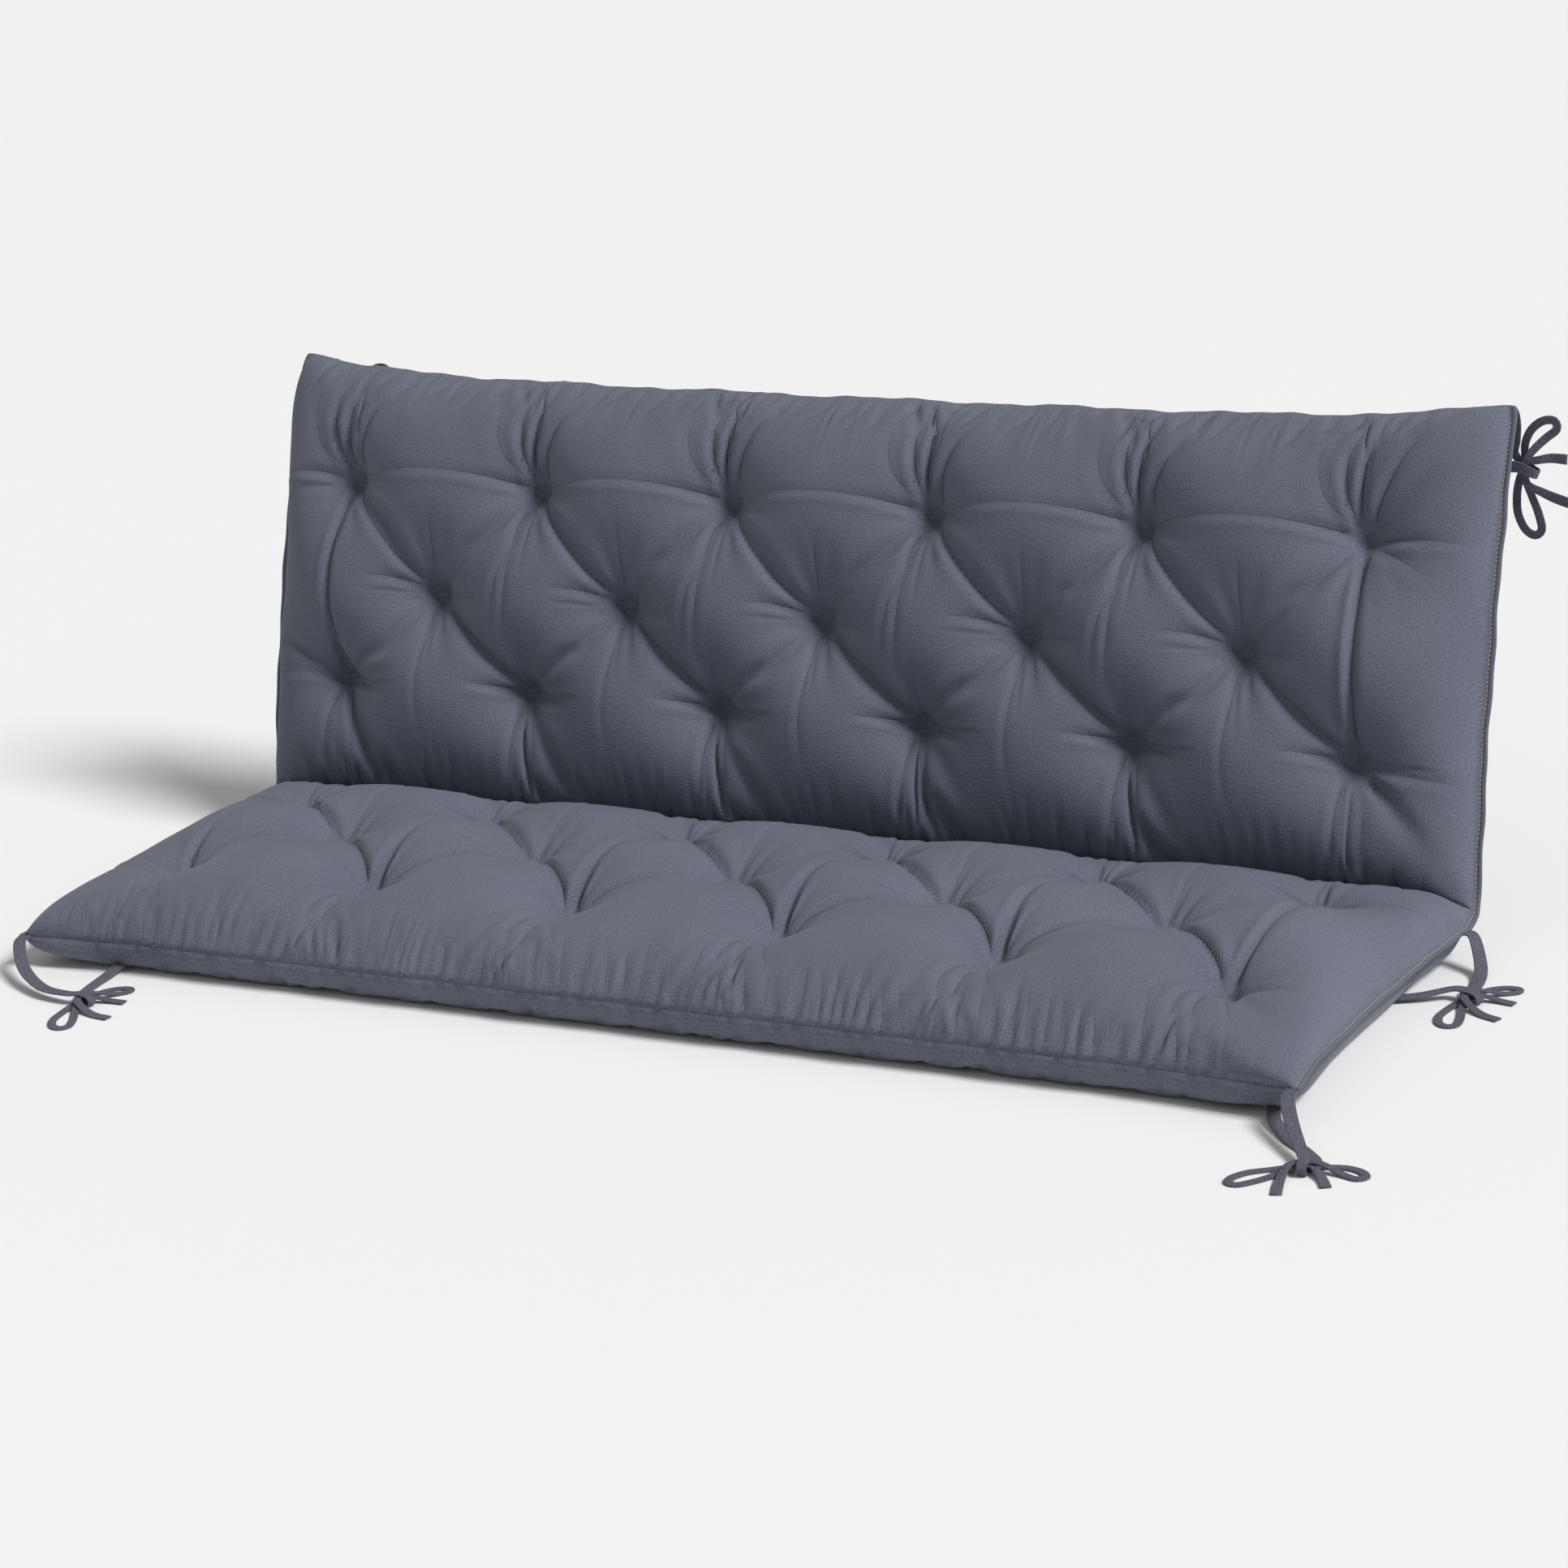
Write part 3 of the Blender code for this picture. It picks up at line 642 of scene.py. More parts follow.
def drawn_in(x, s):
    """The cloth's place in its own plane, with the seams pulled in between the corners."""
    seat = s < SEAT_DEPTH
    free = np.where(seat, s, LENGTH - s)
    left = np.where(seat, SIDE_DRAW["seat left"], SIDE_DRAW["back left"])
    right = np.where(seat, SIDE_DRAW["seat right"], SIDE_DRAW["back right"])
    side = np.where(x < 0, left, right) * pull(free, "side")
    side = side * np.where(seat, pull(SEAT_DEPTH - s, "seat fold"), pull(s - SEAT_DEPTH, "side"))
    last = (TUFT_PITCH * 5) / 2
    out = unit((np.abs(x) - last) / (WIDTH / 2 - last))
    uneven = waves(s + WAVE_OFFSET * np.sign(x), SIDE_WAVES)
    uneven = uneven * unit(np.minimum(s, LENGTH - s) / WAVE_FADE)
    across = x - np.sign(x) * (side * out**2 - uneven * out**4)
    across = across - BACK_SHIFT * unit((s - SEAT_DEPTH) / BACK_ROWS[1]) * (1.0 - out**2)
    corner = WIDTH / 2 - np.abs(x)
    rounding = CORNER_ROUND["cut"] * np.exp((s - LENGTH) / CORNER_ROUND["reach"])
    across = across - np.sign(x) * rounding * np.exp(-corner / CORNER_ROUND["inside"])
    top = unit((s - PANEL_ROWS[5]) / (LENGTH - PANEL_ROWS[5]))
    front = unit((PANEL_ROWS[0] - s) / PANEL_ROWS[0])
    along = s - TOP_DRAW * pull(corner, "top") * top**2 + FRONT_DRAW * pull(corner, "front") * front**2
    uneven = waves(x, TOP_WAVES) * top**4 + waves(x, FRONT_WAVES) * front**4
    along = along + uneven * unit(corner / WAVE_FADE)
    rounding = CORNER_ROUND["cut"] * np.exp(-corner / CORNER_ROUND["reach"])
    return across, along - rounding * np.exp((s - LENGTH) / CORNER_ROUND["inside"])


def seam_plane(s):
    """(y, z) and the outward normal of the seam's plane, along the seat, round the fold and up the back."""
    turn = math.pi / 2 - LEAN
    radius = FOLD_ARC / turn
    start = SEAT_DEPTH - FOLD_ARC / 2
    bend = unit((s - start) / FOLD_ARC) * turn
    before = np.minimum(s - start, 0.0)
    after = np.maximum(s - start - FOLD_ARC, 0.0)
    corner = radius * math.tan(turn / 2)
    y = -corner + before + radius * np.sin(bend) + after * math.cos(turn)
    z = radius * (1.0 - np.cos(bend)) + after * math.sin(turn)
    return y, z, -np.sin(bend), np.cos(bend)


def pad_points(x, s, height):
    """World points at a signed height from the seam's plane, which is negative for the rear cloth."""
    across, along = drawn_in(x, s)
    y, z, ny, nz = seam_plane(along)
    places = (across + ORIGIN[0], y + ny * height + ORIGIN[1], z + nz * height + SEAM_HEIGHT)
    return np.stack(places, axis=-1)


def spread(stops, cells):
    """Lines from stop to stop, closer together near the stops: the tufts, the seams and the fold."""
    lines = []
    for a, b, n in zip(stops, stops[1:], cells):
        t = np.arange(n) / n
        lines += list(a + (b - a) * (t - LINE_CROWDING * np.sin(2.0 * math.pi * t) / (2.0 * math.pi)))
    return np.array(lines + [stops[-1]])


def grid_lines():
    columns = [TUFT_SHIFT + (i - 5) * TUFT_PITCH / 2 for i in range(11)]
    edge = WIDTH / 2 - STITCH_INSET
    across = spread([-WIDTH / 2, -edge] + columns + [edge, WIDTH / 2], COLUMN_CELLS)
    along = spread([0.0] + PANEL_ROWS[:3] + [SEAT_DEPTH] + PANEL_ROWS[3:] + [LENGTH], ROW_CELLS)
    return across, along


# ---- the settling of the cloth ----
def extra_cloth(x, s, ease):
    """Share of cloth beyond the flat span, across and along: most at the tufts, none at the side seams."""
    side = unit((WIDTH / 2 - np.abs(x)) / EASE_REACH["side"]) ** SIDE_POWER
    rim = unit(np.minimum(s, LENGTH - s) / EASE_REACH["rim"])
    fold = np.abs(s - SEAT_DEPTH)
    at_fold = np.clip(fold / EASE_REACH["fold across"], FOLD_LEAST, 1.0)
    across = ease["across"] * side * at_fold * (RIM_LEAST + (1.0 - RIM_LEAST) * rim)
    along = ease["along"] * side * rim * unit(fold / EASE_REACH["fold along"])
    end_tuft = np.where(x < 0, np.abs(x - TUFTS[0][0]), np.abs(x - TUFTS[5][0]))
    panel = np.zeros_like(s)
    for low, high in ((PANEL_ROWS[0], PANEL_ROWS[2]), (PANEL_ROWS[3], PANEL_ROWS[5])):
        panel = np.maximum(panel, unit(np.minimum(s - low, high - s) / EASE_REACH["panel"]))
    across = across + ease["end folds"] * bell(end_tuft, EASE_REACH["ends"]) * panel
    for row in (PANEL_ROWS[0], PANEL_ROWS[5]):
        along = along + ease["outer rows"] * bell(s - row, EASE_REACH["rows"]) * side
    return across, along


def gathered(x, s, gathers):
    """Share of cloth that is gathered into the front seam, the top seam and the fold."""
    side = unit((WIDTH / 2 - np.abs(x)) / GATHER_SIDE)
    edges = (("front", s), ("top", LENGTH - s), ("fold", np.abs(s - SEAT_DEPTH)))
    return side * sum(gathers[name] * np.exp(-gap / gathers["reach"]) for name, gap in edges)


def thread_sets(shape):
    """Pairs of neighbouring points that share no point, so that each set can be corrected in one go."""
    every = slice(None)
    sets = []
    for first in (0, 1):
        a, b = slice(first, shape[0] - 1, 2), slice(first + 1, shape[0], 2)
        c, d = slice(first, shape[1] - 1, 2), slice(first + 1, shape[1], 2)
        low, high = slice(0, shape[1] - 1), slice(1, shape[1])
        sets += [("across", (a, every), (b, every)), ("along", (every, c), (every, d))]
        sets += [("slant", (a, low), (b, high)), ("slant", (a, high), (b, low))]
    return sets


def hold_length(places, free, a, b, rest, give):
    """Moves both ends of each thread so that it has its own length again."""
    run = places[b] - places[a]
    length = np.sqrt(np.einsum("ijk,ijk->ij", run, run)) + 1e-9
    share = give * (length - rest) / length / np.maximum(free[a] + free[b], 1e-9)
    run *= share[..., None]
    places[a] += run * free[a][..., None]
    places[b] -= run * free[b][..., None]


def outward(places):
    """Unit normals of a grid of points."""
    normal = np.cross(np.gradient(places, axis=0), np.gradient(places, axis=1))
    return normal / (np.linalg.norm(normal, axis=-1, keepdims=True) + 1e-12)


def settle(places, free, across, along, level, way, keep_out):
    """Pushes the cloth outwards and holds its threads' lengths, round after round, until it rests."""
    slant = np.hypot((across[:, 1:] + across[:, :-1]) / 2, (along[1:] + along[:-1]) / 2)
    sets = []
    for kind, a, b in thread_sets(places.shape[:2]):
        if kind == "across":
            sets.append((a, b, across[a[0]], 1.0))
        elif kind == "along":
            sets.append((a, b, along[:, a[1]], 1.0))
        else:
            sets.append((a, b, slant[a[0]], SLANT_GIVE))
    loose = free[..., None]
    last = places.copy()
    for _ in range(level["rounds"]):
        now = places.copy()
        places = places + ((places - last) * DRAG + outward(places) * way * level["push"]) * loose
        last = now
        for a, b, rest, give in sets:
            hold_length(places, free, a, b, rest, give)
        bent = (places[:-2] + places[2:]) / 2 - places[1:-1]
        places[1:-1] += STIFFNESS * bent * loose[1:-1]
        bent = (places[:, :-2] + places[:, 2:]) / 2 - places[:, 1:-1]
        places[:, 1:-1] += STIFFNESS * bent * loose[:, 1:-1]
        keep_out(places)
    return places


def finer(places):
    """The same grid with a line between each two."""
    made = np.empty((2 * places.shape[0] - 1, 2 * places.shape[1] - 1, 3))
    made[::2, ::2] = places
    made[1::2, ::2] = (places[:-1] + places[1:]) / 2
    made[:, 1::2] = (made[:, :-2:2] + made[:, 2::2]) / 2
    return made


def settled(start, smooth, held, ease, gathers, levels, way, keep_out):
    """The cloth at rest: its big puffs from a coarse grid first, then creases and gathers on finer ones."""
    xs, ss = grid_lines()
    x, s = np.meshgrid(xs, ss, indexing="ij")
    extra = extra_cloth(x, s, ease)
    gather = gathered(x, s, gathers)
    spans = np.linalg.norm(smooth[1:] - smooth[:-1], axis=-1)
    runs = np.linalg.norm(smooth[:, 1:] - smooth[:, :-1], axis=-1)
    along = runs * (1.0 + (extra[1][:, 1:] + extra[1][:, :-1]) / 2)
    rng = np.random.default_rng(7)
    places = None
    for level in levels:
        step = level["step"]
        pinned, free = start[::step, ::step], 1.0 - held[::step, ::step]
        if places is None:
            places = pinned.copy()
        else:
            places = np.where(free[..., None] > 0, finer(places), pinned)
        share = extra[0] + level["gathers"] * gather
        across = spans * (1.0 + (share[1:] + share[:-1]) / 2)
        across = np.add.reduceat(across, np.arange(0, len(across), step), axis=0)[:, ::step]
        length = np.add.reduceat(along, np.arange(0, along.shape[1], step), axis=1)[::step]
        places = places + outward(places) * (rng.normal(0.0, level["ripple"], free.shape) * free)[..., None]
        seat = s[::step, ::step] < SEAT_DEPTH
        places = settle(places, free, across, length, level, way, lambda q: keep_out(q, seat, free))
    return places


def held_points(xs, ss, fold):
    """1 where the cloth is held: all round in the seam, at the tufts and along the fold."""
    held = np.zeros((len(xs), len(ss)))
    held[np.abs(xs) > WIDTH / 2 - STITCH_INSET - 1e-6] = 1.0
    held[:, [0, -1]] = 1.0
    if fold:
        held[:, np.argmin(np.abs(ss - SEAT_DEPTH))] = 1.0
    for tx, ts in TUFTS:
        held[np.argmin(np.abs(xs - tx)), np.argmin(np.abs(ss - ts))] = 1.0
    return held


def keep_at_fold(places, seat, free):
    """The seat's cloth and the back's press on each other at the fold and don't pass through."""
    y, z, _, _ = seam_plane(np.array([SEAT_DEPTH]))
    at = np.array([0.0, y[0] + ORIGIN[1], z[0] + SEAM_HEIGHT])
    half = (math.pi / 2 + LEAN) / 2
    across = np.array([0.0, math.sin(half), math.cos(half)])
    away = (places - at) @ across
    kept = np.where(seat, np.minimum(away, -FOLD_CLEARANCE), np.maximum(away, FOLD_CLEARANCE))
    places += ((kept - away) * free)[..., None] * across


def keep_on_floor(places, seat, free):
    """The underside lies flat on the floor."""
    places[..., 2] = np.where(free > 0, np.maximum(places[..., 2], 0.0), places[..., 2])


def pad_sheets():
    """The grid on the flat cloth, the front and the rear cloth at rest, and the front's sharp folds."""
    xs, ss = grid_lines()
    x, s = np.meshgrid(xs, ss, indexing="ij")
    start = pad_points(x, s, front_height(x, s, CROWN, TUFTS))
    smooth = pad_points(x, s, front_height(x, s, CUT_CROWN, ()))
    held = held_points(xs, ss, True)
    front = settled(start, smooth, held, EASE, GATHERS, FRONT_ROUNDS, 1.0, keep_at_fold)
    relief, folds = drawn_relief(xs, ss)
    front = front + outward(front) * relief[..., None]
    start = pad_points(x, s, -rear_height(x, s, TUFTS))
    smooth = pad_points(x, s, -rear_height(x, s, ()))
    held = held_points(xs, ss, False)
    half = settled(start, smooth, held, REAR_EASE, REAR_GATHERS, REAR_ROUNDS, -1.0, keep_on_floor)
    rear = finer(half)
    near = np.exp(-(((x - SEWN_SPOT["x"]) ** 2 + (s - SEWN_SPOT["s"]) ** 2) / SEWN_SPOT["reach"] ** 2))
    rear = rear + (start - rear) * near[..., None]
    rim = held_points(xs, ss, False) > 0
    rim[1:-1, 1:-1] = False
    rear[rim] = start[rim]
    return x, s, front, rear, folds


# ---- the creases the thread draws in the cloth ----
# A line, in millimetres: its points, to the right of its tuft and away from the fold; its depth at the start,
# the middle and the end; its half width; the side its ridge stands on, and the ridge's share of the depth.
MM = 0.001
LEFT = (-1.0, 0.0)
RIGHT = (1.0, 0.0)
IN = (0.0, -1.0)
TUFT_LINES = {
    "outer": (
        (((-20, 16), (-45, 42), (-53, 82), (-44, 118)), (1.2, 1.6, 0.3), 8.0, LEFT, 0.3),
        (((-8, 12), (-20, 42), (-24, 82), (-11, 122)), (6.0, 5.0, 0.5), 5.5, LEFT, 0.6),
        (((-2, 12), (-7, 46), (-1, 86), (18, 124)), (7.0, 6.0, 0.6), 5.5, LEFT, 0.6),
        (((8, 12), (18, 46), (36, 86), (58, 120)), (5.0, 4.0, 0.5), 6.0, LEFT, 0.5),
    ),
    "middle": (
        (((-8, 3), (-38, 13), (-72, 17), (-98, 14)), (4.5, 2.2, 0.0), 5.5, IN, 0.6),
        (((7, 7), (22, 22), (36, 42)), (4.0, 2.0, 0.0), 6.0, RIGHT, 0.3),
        (((-2, -12), (-6, -60), (-9, -110), (-4, -155)), (2.5, 1.2, 0.5), 5.0, LEFT, 0.6),
        (((-8, -10), (-24, -32), (-34, -62)), (3.0, 1.5, 0.0), 5.0, LEFT, 0.5),
        (((6, -11), (13, -34), (22, -62)), (3.0, 1.5, 0.0), 5.0, LEFT, 0.5),
    ),
    "inner": (
        (((-9, 0), (-42, 4), (-84, 6)), (4.5, 3.0, 0.0), 5.5, IN, 0.6),
        (((9, -1), (38, -6), (68, -11)), (4.0, 2.2, 0.0), 6.0, IN, 0.5),
        (((-5, -11), (-15, -48), (-19, -94)), (3.6, 2.2, 1.2), 5.0, LEFT, 0.5),
        (((5, -11), (16, -50), (17, -94)), (3.0, 1.6, 0.8), 5.0, LEFT, 0.5),
    ),
}
SIDE_LINES = {
    ("outer", LEFT): (
        (((-10, 1), (-55, 8), (-104, 5)), (4.0, 2.5, 1.0), 6.0, IN, 0.6),
        (((-10, -5), (-48, -10), (-86, -18)), (2.5, 1.5, 0.2), 6.0, IN, 0.5),
    ),
    ("outer", RIGHT): (
        (((10, -1), (60, 1), (108, 0)), (4.0, 2.5, 0.6), 6.0, IN, 0.6),
        (((9, -6), (42, -20), (78, -40)), (3.5, 2.2, 0.2), 6.5, IN, 0.4),
    ),
    ("inner", LEFT): (
        (((-10, 0), (-50, 2), (-96, 0)), (4.0, 2.2, 0.6), 6.0, IN, 0.6),
    ),
    ("inner", RIGHT): (
        (((10, -2), (60, -9), (112, -15)), (4.0, 2.5, 0.6), 6.0, IN, 0.6),
        (((8, -8), (36, -30), (58, -44)), (3.5, 2.0, 0.0), 6.5, IN, 0.4),
        (((4, -12), (16, -40), (30, -62)), (3.0, 1.6, 0.0), 6.0, IN, 0.4),
    ),
}
TWIN_LINES = (
    (((-4, -12), (-14, -38), (-17, -66)), (5.0, 3.2, 1.6), 5.5, LEFT, 0.6),
    (((-17, -66), (-31, -108), (-34, -160)), (1.6, 2.2, 0.4), 5.5, LEFT, 0.8),
    (((-17, -66), (-18, -118), (-21, -178)), (1.6, 2.2, 0.4), 5.5, LEFT, 0.8),
)
# A gathered edge: its seam, the way it faces, its first and last pleat, their pitch, reach, slant and depth.
GATHER_ROWS = (
    (0.0, 1.0, -0.70, 0.71, 0.018, 0.070, -0.012, 0.65),
    (LENGTH, -1.0, -0.69, 0.69, 0.024, 0.066, -0.024, 1.0),
    (SEAT_DEPTH, 1.0, -0.70, 0.70, 0.024, 0.060, 0.0, 1.0),
    (SEAT_DEPTH, -1.0, -0.70, 0.70, 0.026, 0.050, 0.0, 1.0),
)
# A pleat's own shape, and the shares by which one differs from the next.
PLEAT = {"start": 0.004, "bend": 0.35, "width": 5.0, "ridge": 0.5, "reach": (0.55, 1.25), "depth": (1.0, 3.0),
         "slant": (0.5, 1.5), "pitch": (0.65, 1.4)}
# A panel's rows of tufts, the way it runs from the fold, and how hard its outer tufts draw the cloth in.
PANELS = {"seat": {"outward": -1.0, "pull": 0.55}, "back": {"outward": 1.0, "pull": 1.0}}
PANELS["seat"].update(zip(("outer", "middle", "inner"), PANEL_ROWS))
PANELS["back"].update(zip(("inner", "middle", "outer"), PANEL_ROWS[3:]))
# The kinds of line from tuft to tuft: depth and half width in millimetres, and the ridge's share.
NET = {"seat": (4.8, 5.0, 0.4), "back": (3.8, 5.0, 0.4)}
END_FOLD = (7.0, 5.0, 0.4)
COLUMN_FOLD = (5.5, 6.0, 0.5)
ARC = (2.2, 5.5, 0.6)
# The share of its depth that such a line has at the start, the middle and the end.
EVEN = (1.0, 0.9, 1.0)
WEAK = (0.6, 0.5, 0.6)
FAINT = (0.5, 0.15, 0.5)
END_SHAPE = (0.8, 1.0, 0.8)
COLUMN_SHAPE = (1.3, 1.0, 0.2)
ARC_SHAPE = (0.6, 0.6, 1.6)
# How far the lines swing aside at their middle.
NET_BOW = (0.003, 0.005)
LEFT_END_BOW = (-0.009, 0.0)
RIGHT_END_BOW = (0.005, 0.0)
COLUMN_BOW = (-0.013, 0.0)
ARC_BOW = 0.015
# A line's reach and its ridge's place and width, in half widths.
LINE_REACH = 4.2
RIDGE_PLACE = 1.7
RIDGE_WIDTH = 0.9
# A sharp fold: the depth that makes it full, the least that shows, its reach, how far apart two have to be, and
# the distance written where there is none.
FOLD_LINE = {"full": 0.0045, "least": 0.0006, "reach": 0.007, "apart": 0.009, "far": 0.05}
# A tuft's pit with the wider bowl round it, its fine puckers, and how it eases the other relief beside it.
PIT = {"depth": 0.0085, "reach": 0.0095, "power": 1.3, "bowl": 0.004, "bowl reach": 0.030}
PUCKERS = {"lines": 8, "spread": 0.3, "swing": 0.35, "start": 0.003, "reach": (0.016, 0.036), "depth": 2.4,
           "shares": (0.5, 1.0), "middle": 0.6, "width": 3.2, "ridge": 0.4}
EASED = {"share": 0.65, "reach": 0.014}
# Where the relief fades out: at the seams and the topstitch, and from a little way off the fold.
EDGE_FADE = 0.008
FOLD_FADE = {"from": 0.004, "over": 0.012}


def bowed(a, b, bow):
    """Points from a to b that swing aside by the vector 'bow' at the middle."""
    a, b, bow = np.array(a), np.array(b), np.array(bow)
    return [a + (b - a) * t + bow * 4.0 * t * (1.0 - t) for t in (0.05, 0.28, 0.5, 0.72, 0.95)]


def from_tuft(x, row, outward, entry, force=1.0):
    """A table's line set down at its tuft, drawn in with more or less force."""
    points, depth, width, ridge, share = entry
    depth = tuple(force * part for part in depth)
    route = [(x + a * MM, row + outward * b * MM) for a, b in points]
    return route, depth, width, (ridge[0], ridge[1] * outward), share


def net_line(route, kind, shape, ridge):
    depth, width, share = kind
    return route, tuple(depth * part for part in shape), width, ridge, share


def panel_lines(name, panel):
    """The creases that join the tufts of one panel, and the folds that run along its columns."""
    outward = panel["outward"]
    outer, middle = tuft_columns(0), tuft_columns(1)
    lines = []
    for i, x in enumerate(middle):
        for k, side in ((i, 1.0), (i + 1, -1.0)):
            ridge = (-1.0, -side * outward if name == "back" else side)
            bow = (-NET_BOW[0] * side, -NET_BOW[1] * outward)
            share = EVEN if side > 0 or name == "seat" else FAINT
            tuft = (outer[k], panel["outer"])
            lines.append(net_line(bowed(tuft, (x, panel["middle"]), bow), NET[name], share, ridge))
            tuft = (outer[k], panel["inner"])
            share = EVEN if name == "seat" else WEAK if side < 0 else FAINT
            lines.append(net_line(bowed((x, panel["middle"]), tuft, (0.0, 0.0)), NET[name], share, ridge))
    for k, x in enumerate(outer):
        ends = (x, panel["outer"]), (x, panel["inner"])
        if k in (0, 5):
            route = bowed(*ends, LEFT_END_BOW if k == 0 else RIGHT_END_BOW)
            lines.append(net_line(route, END_FOLD, END_SHAPE, LEFT))
        elif name == "seat":
            lines.append(net_line(bowed(*ends, COLUMN_BOW), COLUMN_FOLD, COLUMN_SHAPE, LEFT))
        else:
            lines += [from_tuft(x, panel["outer"], outward, entry) for entry in TWIN_LINES]
        if name == "back" and k < 5:
            route = bowed(ends[0], (outer[k + 1], panel["outer"]), (0.0, ARC_BOW * outward))
            lines.append(net_line(route, ARC, ARC_SHAPE, (0.0, -outward)))
    for row, table in TUFT_LINES.items():
        columns = middle if row == "middle" else outer
        force = panel["pull"] if row == "outer" else 1.0
        for k, x in enumerate(columns):
            entries = table
            entries += SIDE_LINES.get((row, LEFT), ()) if k == 0 else ()
            entries += SIDE_LINES.get((row, RIGHT), ()) if k == len(columns) - 1 else ()
            lines += [from_tuft(x, panel[row], outward, entry, force) for entry in entries]
    return lines


def gather_lines():
    """The little pleats where the cloth is gathered into the front seam, the top seam and the fold."""
    rng = np.random.default_rng(11)
    lines = []
    for seam, way, x, last, pitch, reach, slant, force in GATHER_ROWS:
        while x < last:
            far = reach * rng.uniform(*PLEAT["reach"])
            depth = rng.uniform(*PLEAT["depth"]) * force
            lean = slant * rng.uniform(*PLEAT["slant"])
            a, b = seam + way * PLEAT["start"], seam + way * far
            route = [(x, a), (x + lean * PLEAT["bend"], (a + b) / 2), (x + lean, b)]
            lines.append((route, (depth, depth, 0.0), PLEAT["width"], LEFT, PLEAT["ridge"]))
            x += pitch * rng.uniform(*PLEAT["pitch"])
    return lines


def pucker_lines():
    """The fine short folds that run out from every tuft where its thread draws the cloth together."""
    rng = np.random.default_rng(5)
    lines = []
    for tx, ts in TUFTS:
        first = rng.uniform(0.0, 2.0 * math.pi)
        for k in range(PUCKERS["lines"]):
            spread = rng.uniform(-PUCKERS["spread"], PUCKERS["spread"])
            angle = first + 2.0 * math.pi * (k + spread) / PUCKERS["lines"]
            swing = rng.uniform(-PUCKERS["swing"], PUCKERS["swing"])
            reach = rng.uniform(*PUCKERS["reach"])
            route = []
            for t in (0.0, 0.5, 1.0):
                r = PUCKERS["start"] + (reach - PUCKERS["start"]) * t
                turn = angle + swing * t
                route.append((tx + r * math.cos(turn), ts + r * math.sin(turn)))
            depth = PUCKERS["depth"] * rng.uniform(*PUCKERS["shares"])
            shape = (depth, depth * PUCKERS["middle"], 0.0)
            lines.append((route, shape, PUCKERS["width"], LEFT, PUCKERS["ridge"]))
    return lines


def curve_through(points, pieces):
    """A Catmull-Rom curve through the points, each stretch cut into pieces."""
    points = np.array(points)
    ends = with_ends(points)
    route = []
    for a, b, c, d in zip(ends, ends[1:], ends[2:], ends[3:]):
        route += [curve_place(a, b, c, d, t) for t in np.arange(pieces) / pieces]
    return np.array(route + [points[-1]])


def draw_line(valley, ridges, folds, xs, ss, line):
    """Presses one line into the valleys, the ridges and the distance to the nearest sharp fold."""
    points, depth, width, side, share = line
    width = width * MM
    route = curve_through(points, 4)
    low, high = route.min(axis=0) - LINE_REACH * width, route.max(axis=0) + LINE_REACH * width
    i0, i1 = np.searchsorted(xs, (low[0], high[0]))
    j0, j1 = np.searchsorted(ss, (low[1], high[1]))
    x, s = np.meshgrid(xs[i0:i1], ss[j0:j1], indexing="ij")
    nearest = np.full(x.shape, np.inf)
    along, facing, way = np.zeros_like(x), np.zeros_like(x), np.ones_like(x)
    steps = len(route) - 1
    for k in range(steps):
        a, b = route[k], route[k + 1]
        run = b - a
        t = unit(((x - a[0]) * run[0] + (s - a[1]) * run[1]) / (run @ run))
        off_x, off_s = x - a[0] - run[0] * t, s - a[1] - run[1] * t
        gap = np.hypot(off_x, off_s)
        closer = gap < nearest
        nearest = np.where(closer, gap, nearest)
        along = np.where(closer, (k + t) / steps, along)
        facing = np.where(closer, off_x * side[0] + off_s * side[1], facing)
        way = np.where(closer, np.where(run[0] * off_s > run[1] * off_x, 1.0, -1.0), way)
    deep = np.interp(along, (0.0, 0.5, 1.0), depth) * MM
    pressed = deep * bell(nearest, width)
    patch = valley[i0:i1, j0:j1]
    np.maximum(patch, pressed, out=patch)
    sharp = np.minimum(deep / FOLD_LINE["full"], 1.0) * bell(nearest, FOLD_LINE["reach"])
    nearest = np.where(deep > FOLD_LINE["least"], nearest, np.inf)
    field = folds[i0:i1, j0:j1]
    first, second = np.abs(field[..., 0]), field[..., 2]
    field[..., 2] = np.where(nearest < first, first, np.minimum(second, nearest))
    field[..., 1] = np.where(nearest < first, sharp, field[..., 1])
    field[..., 0] = np.where(nearest < first, way * nearest, field[..., 0])
    stands = deep * share * bell(nearest - RIDGE_PLACE * width, RIDGE_WIDTH * width) * (facing > 0)
    patch = ridges[i0:i1, j0:j1]
    np.maximum(patch, stands, out=patch)


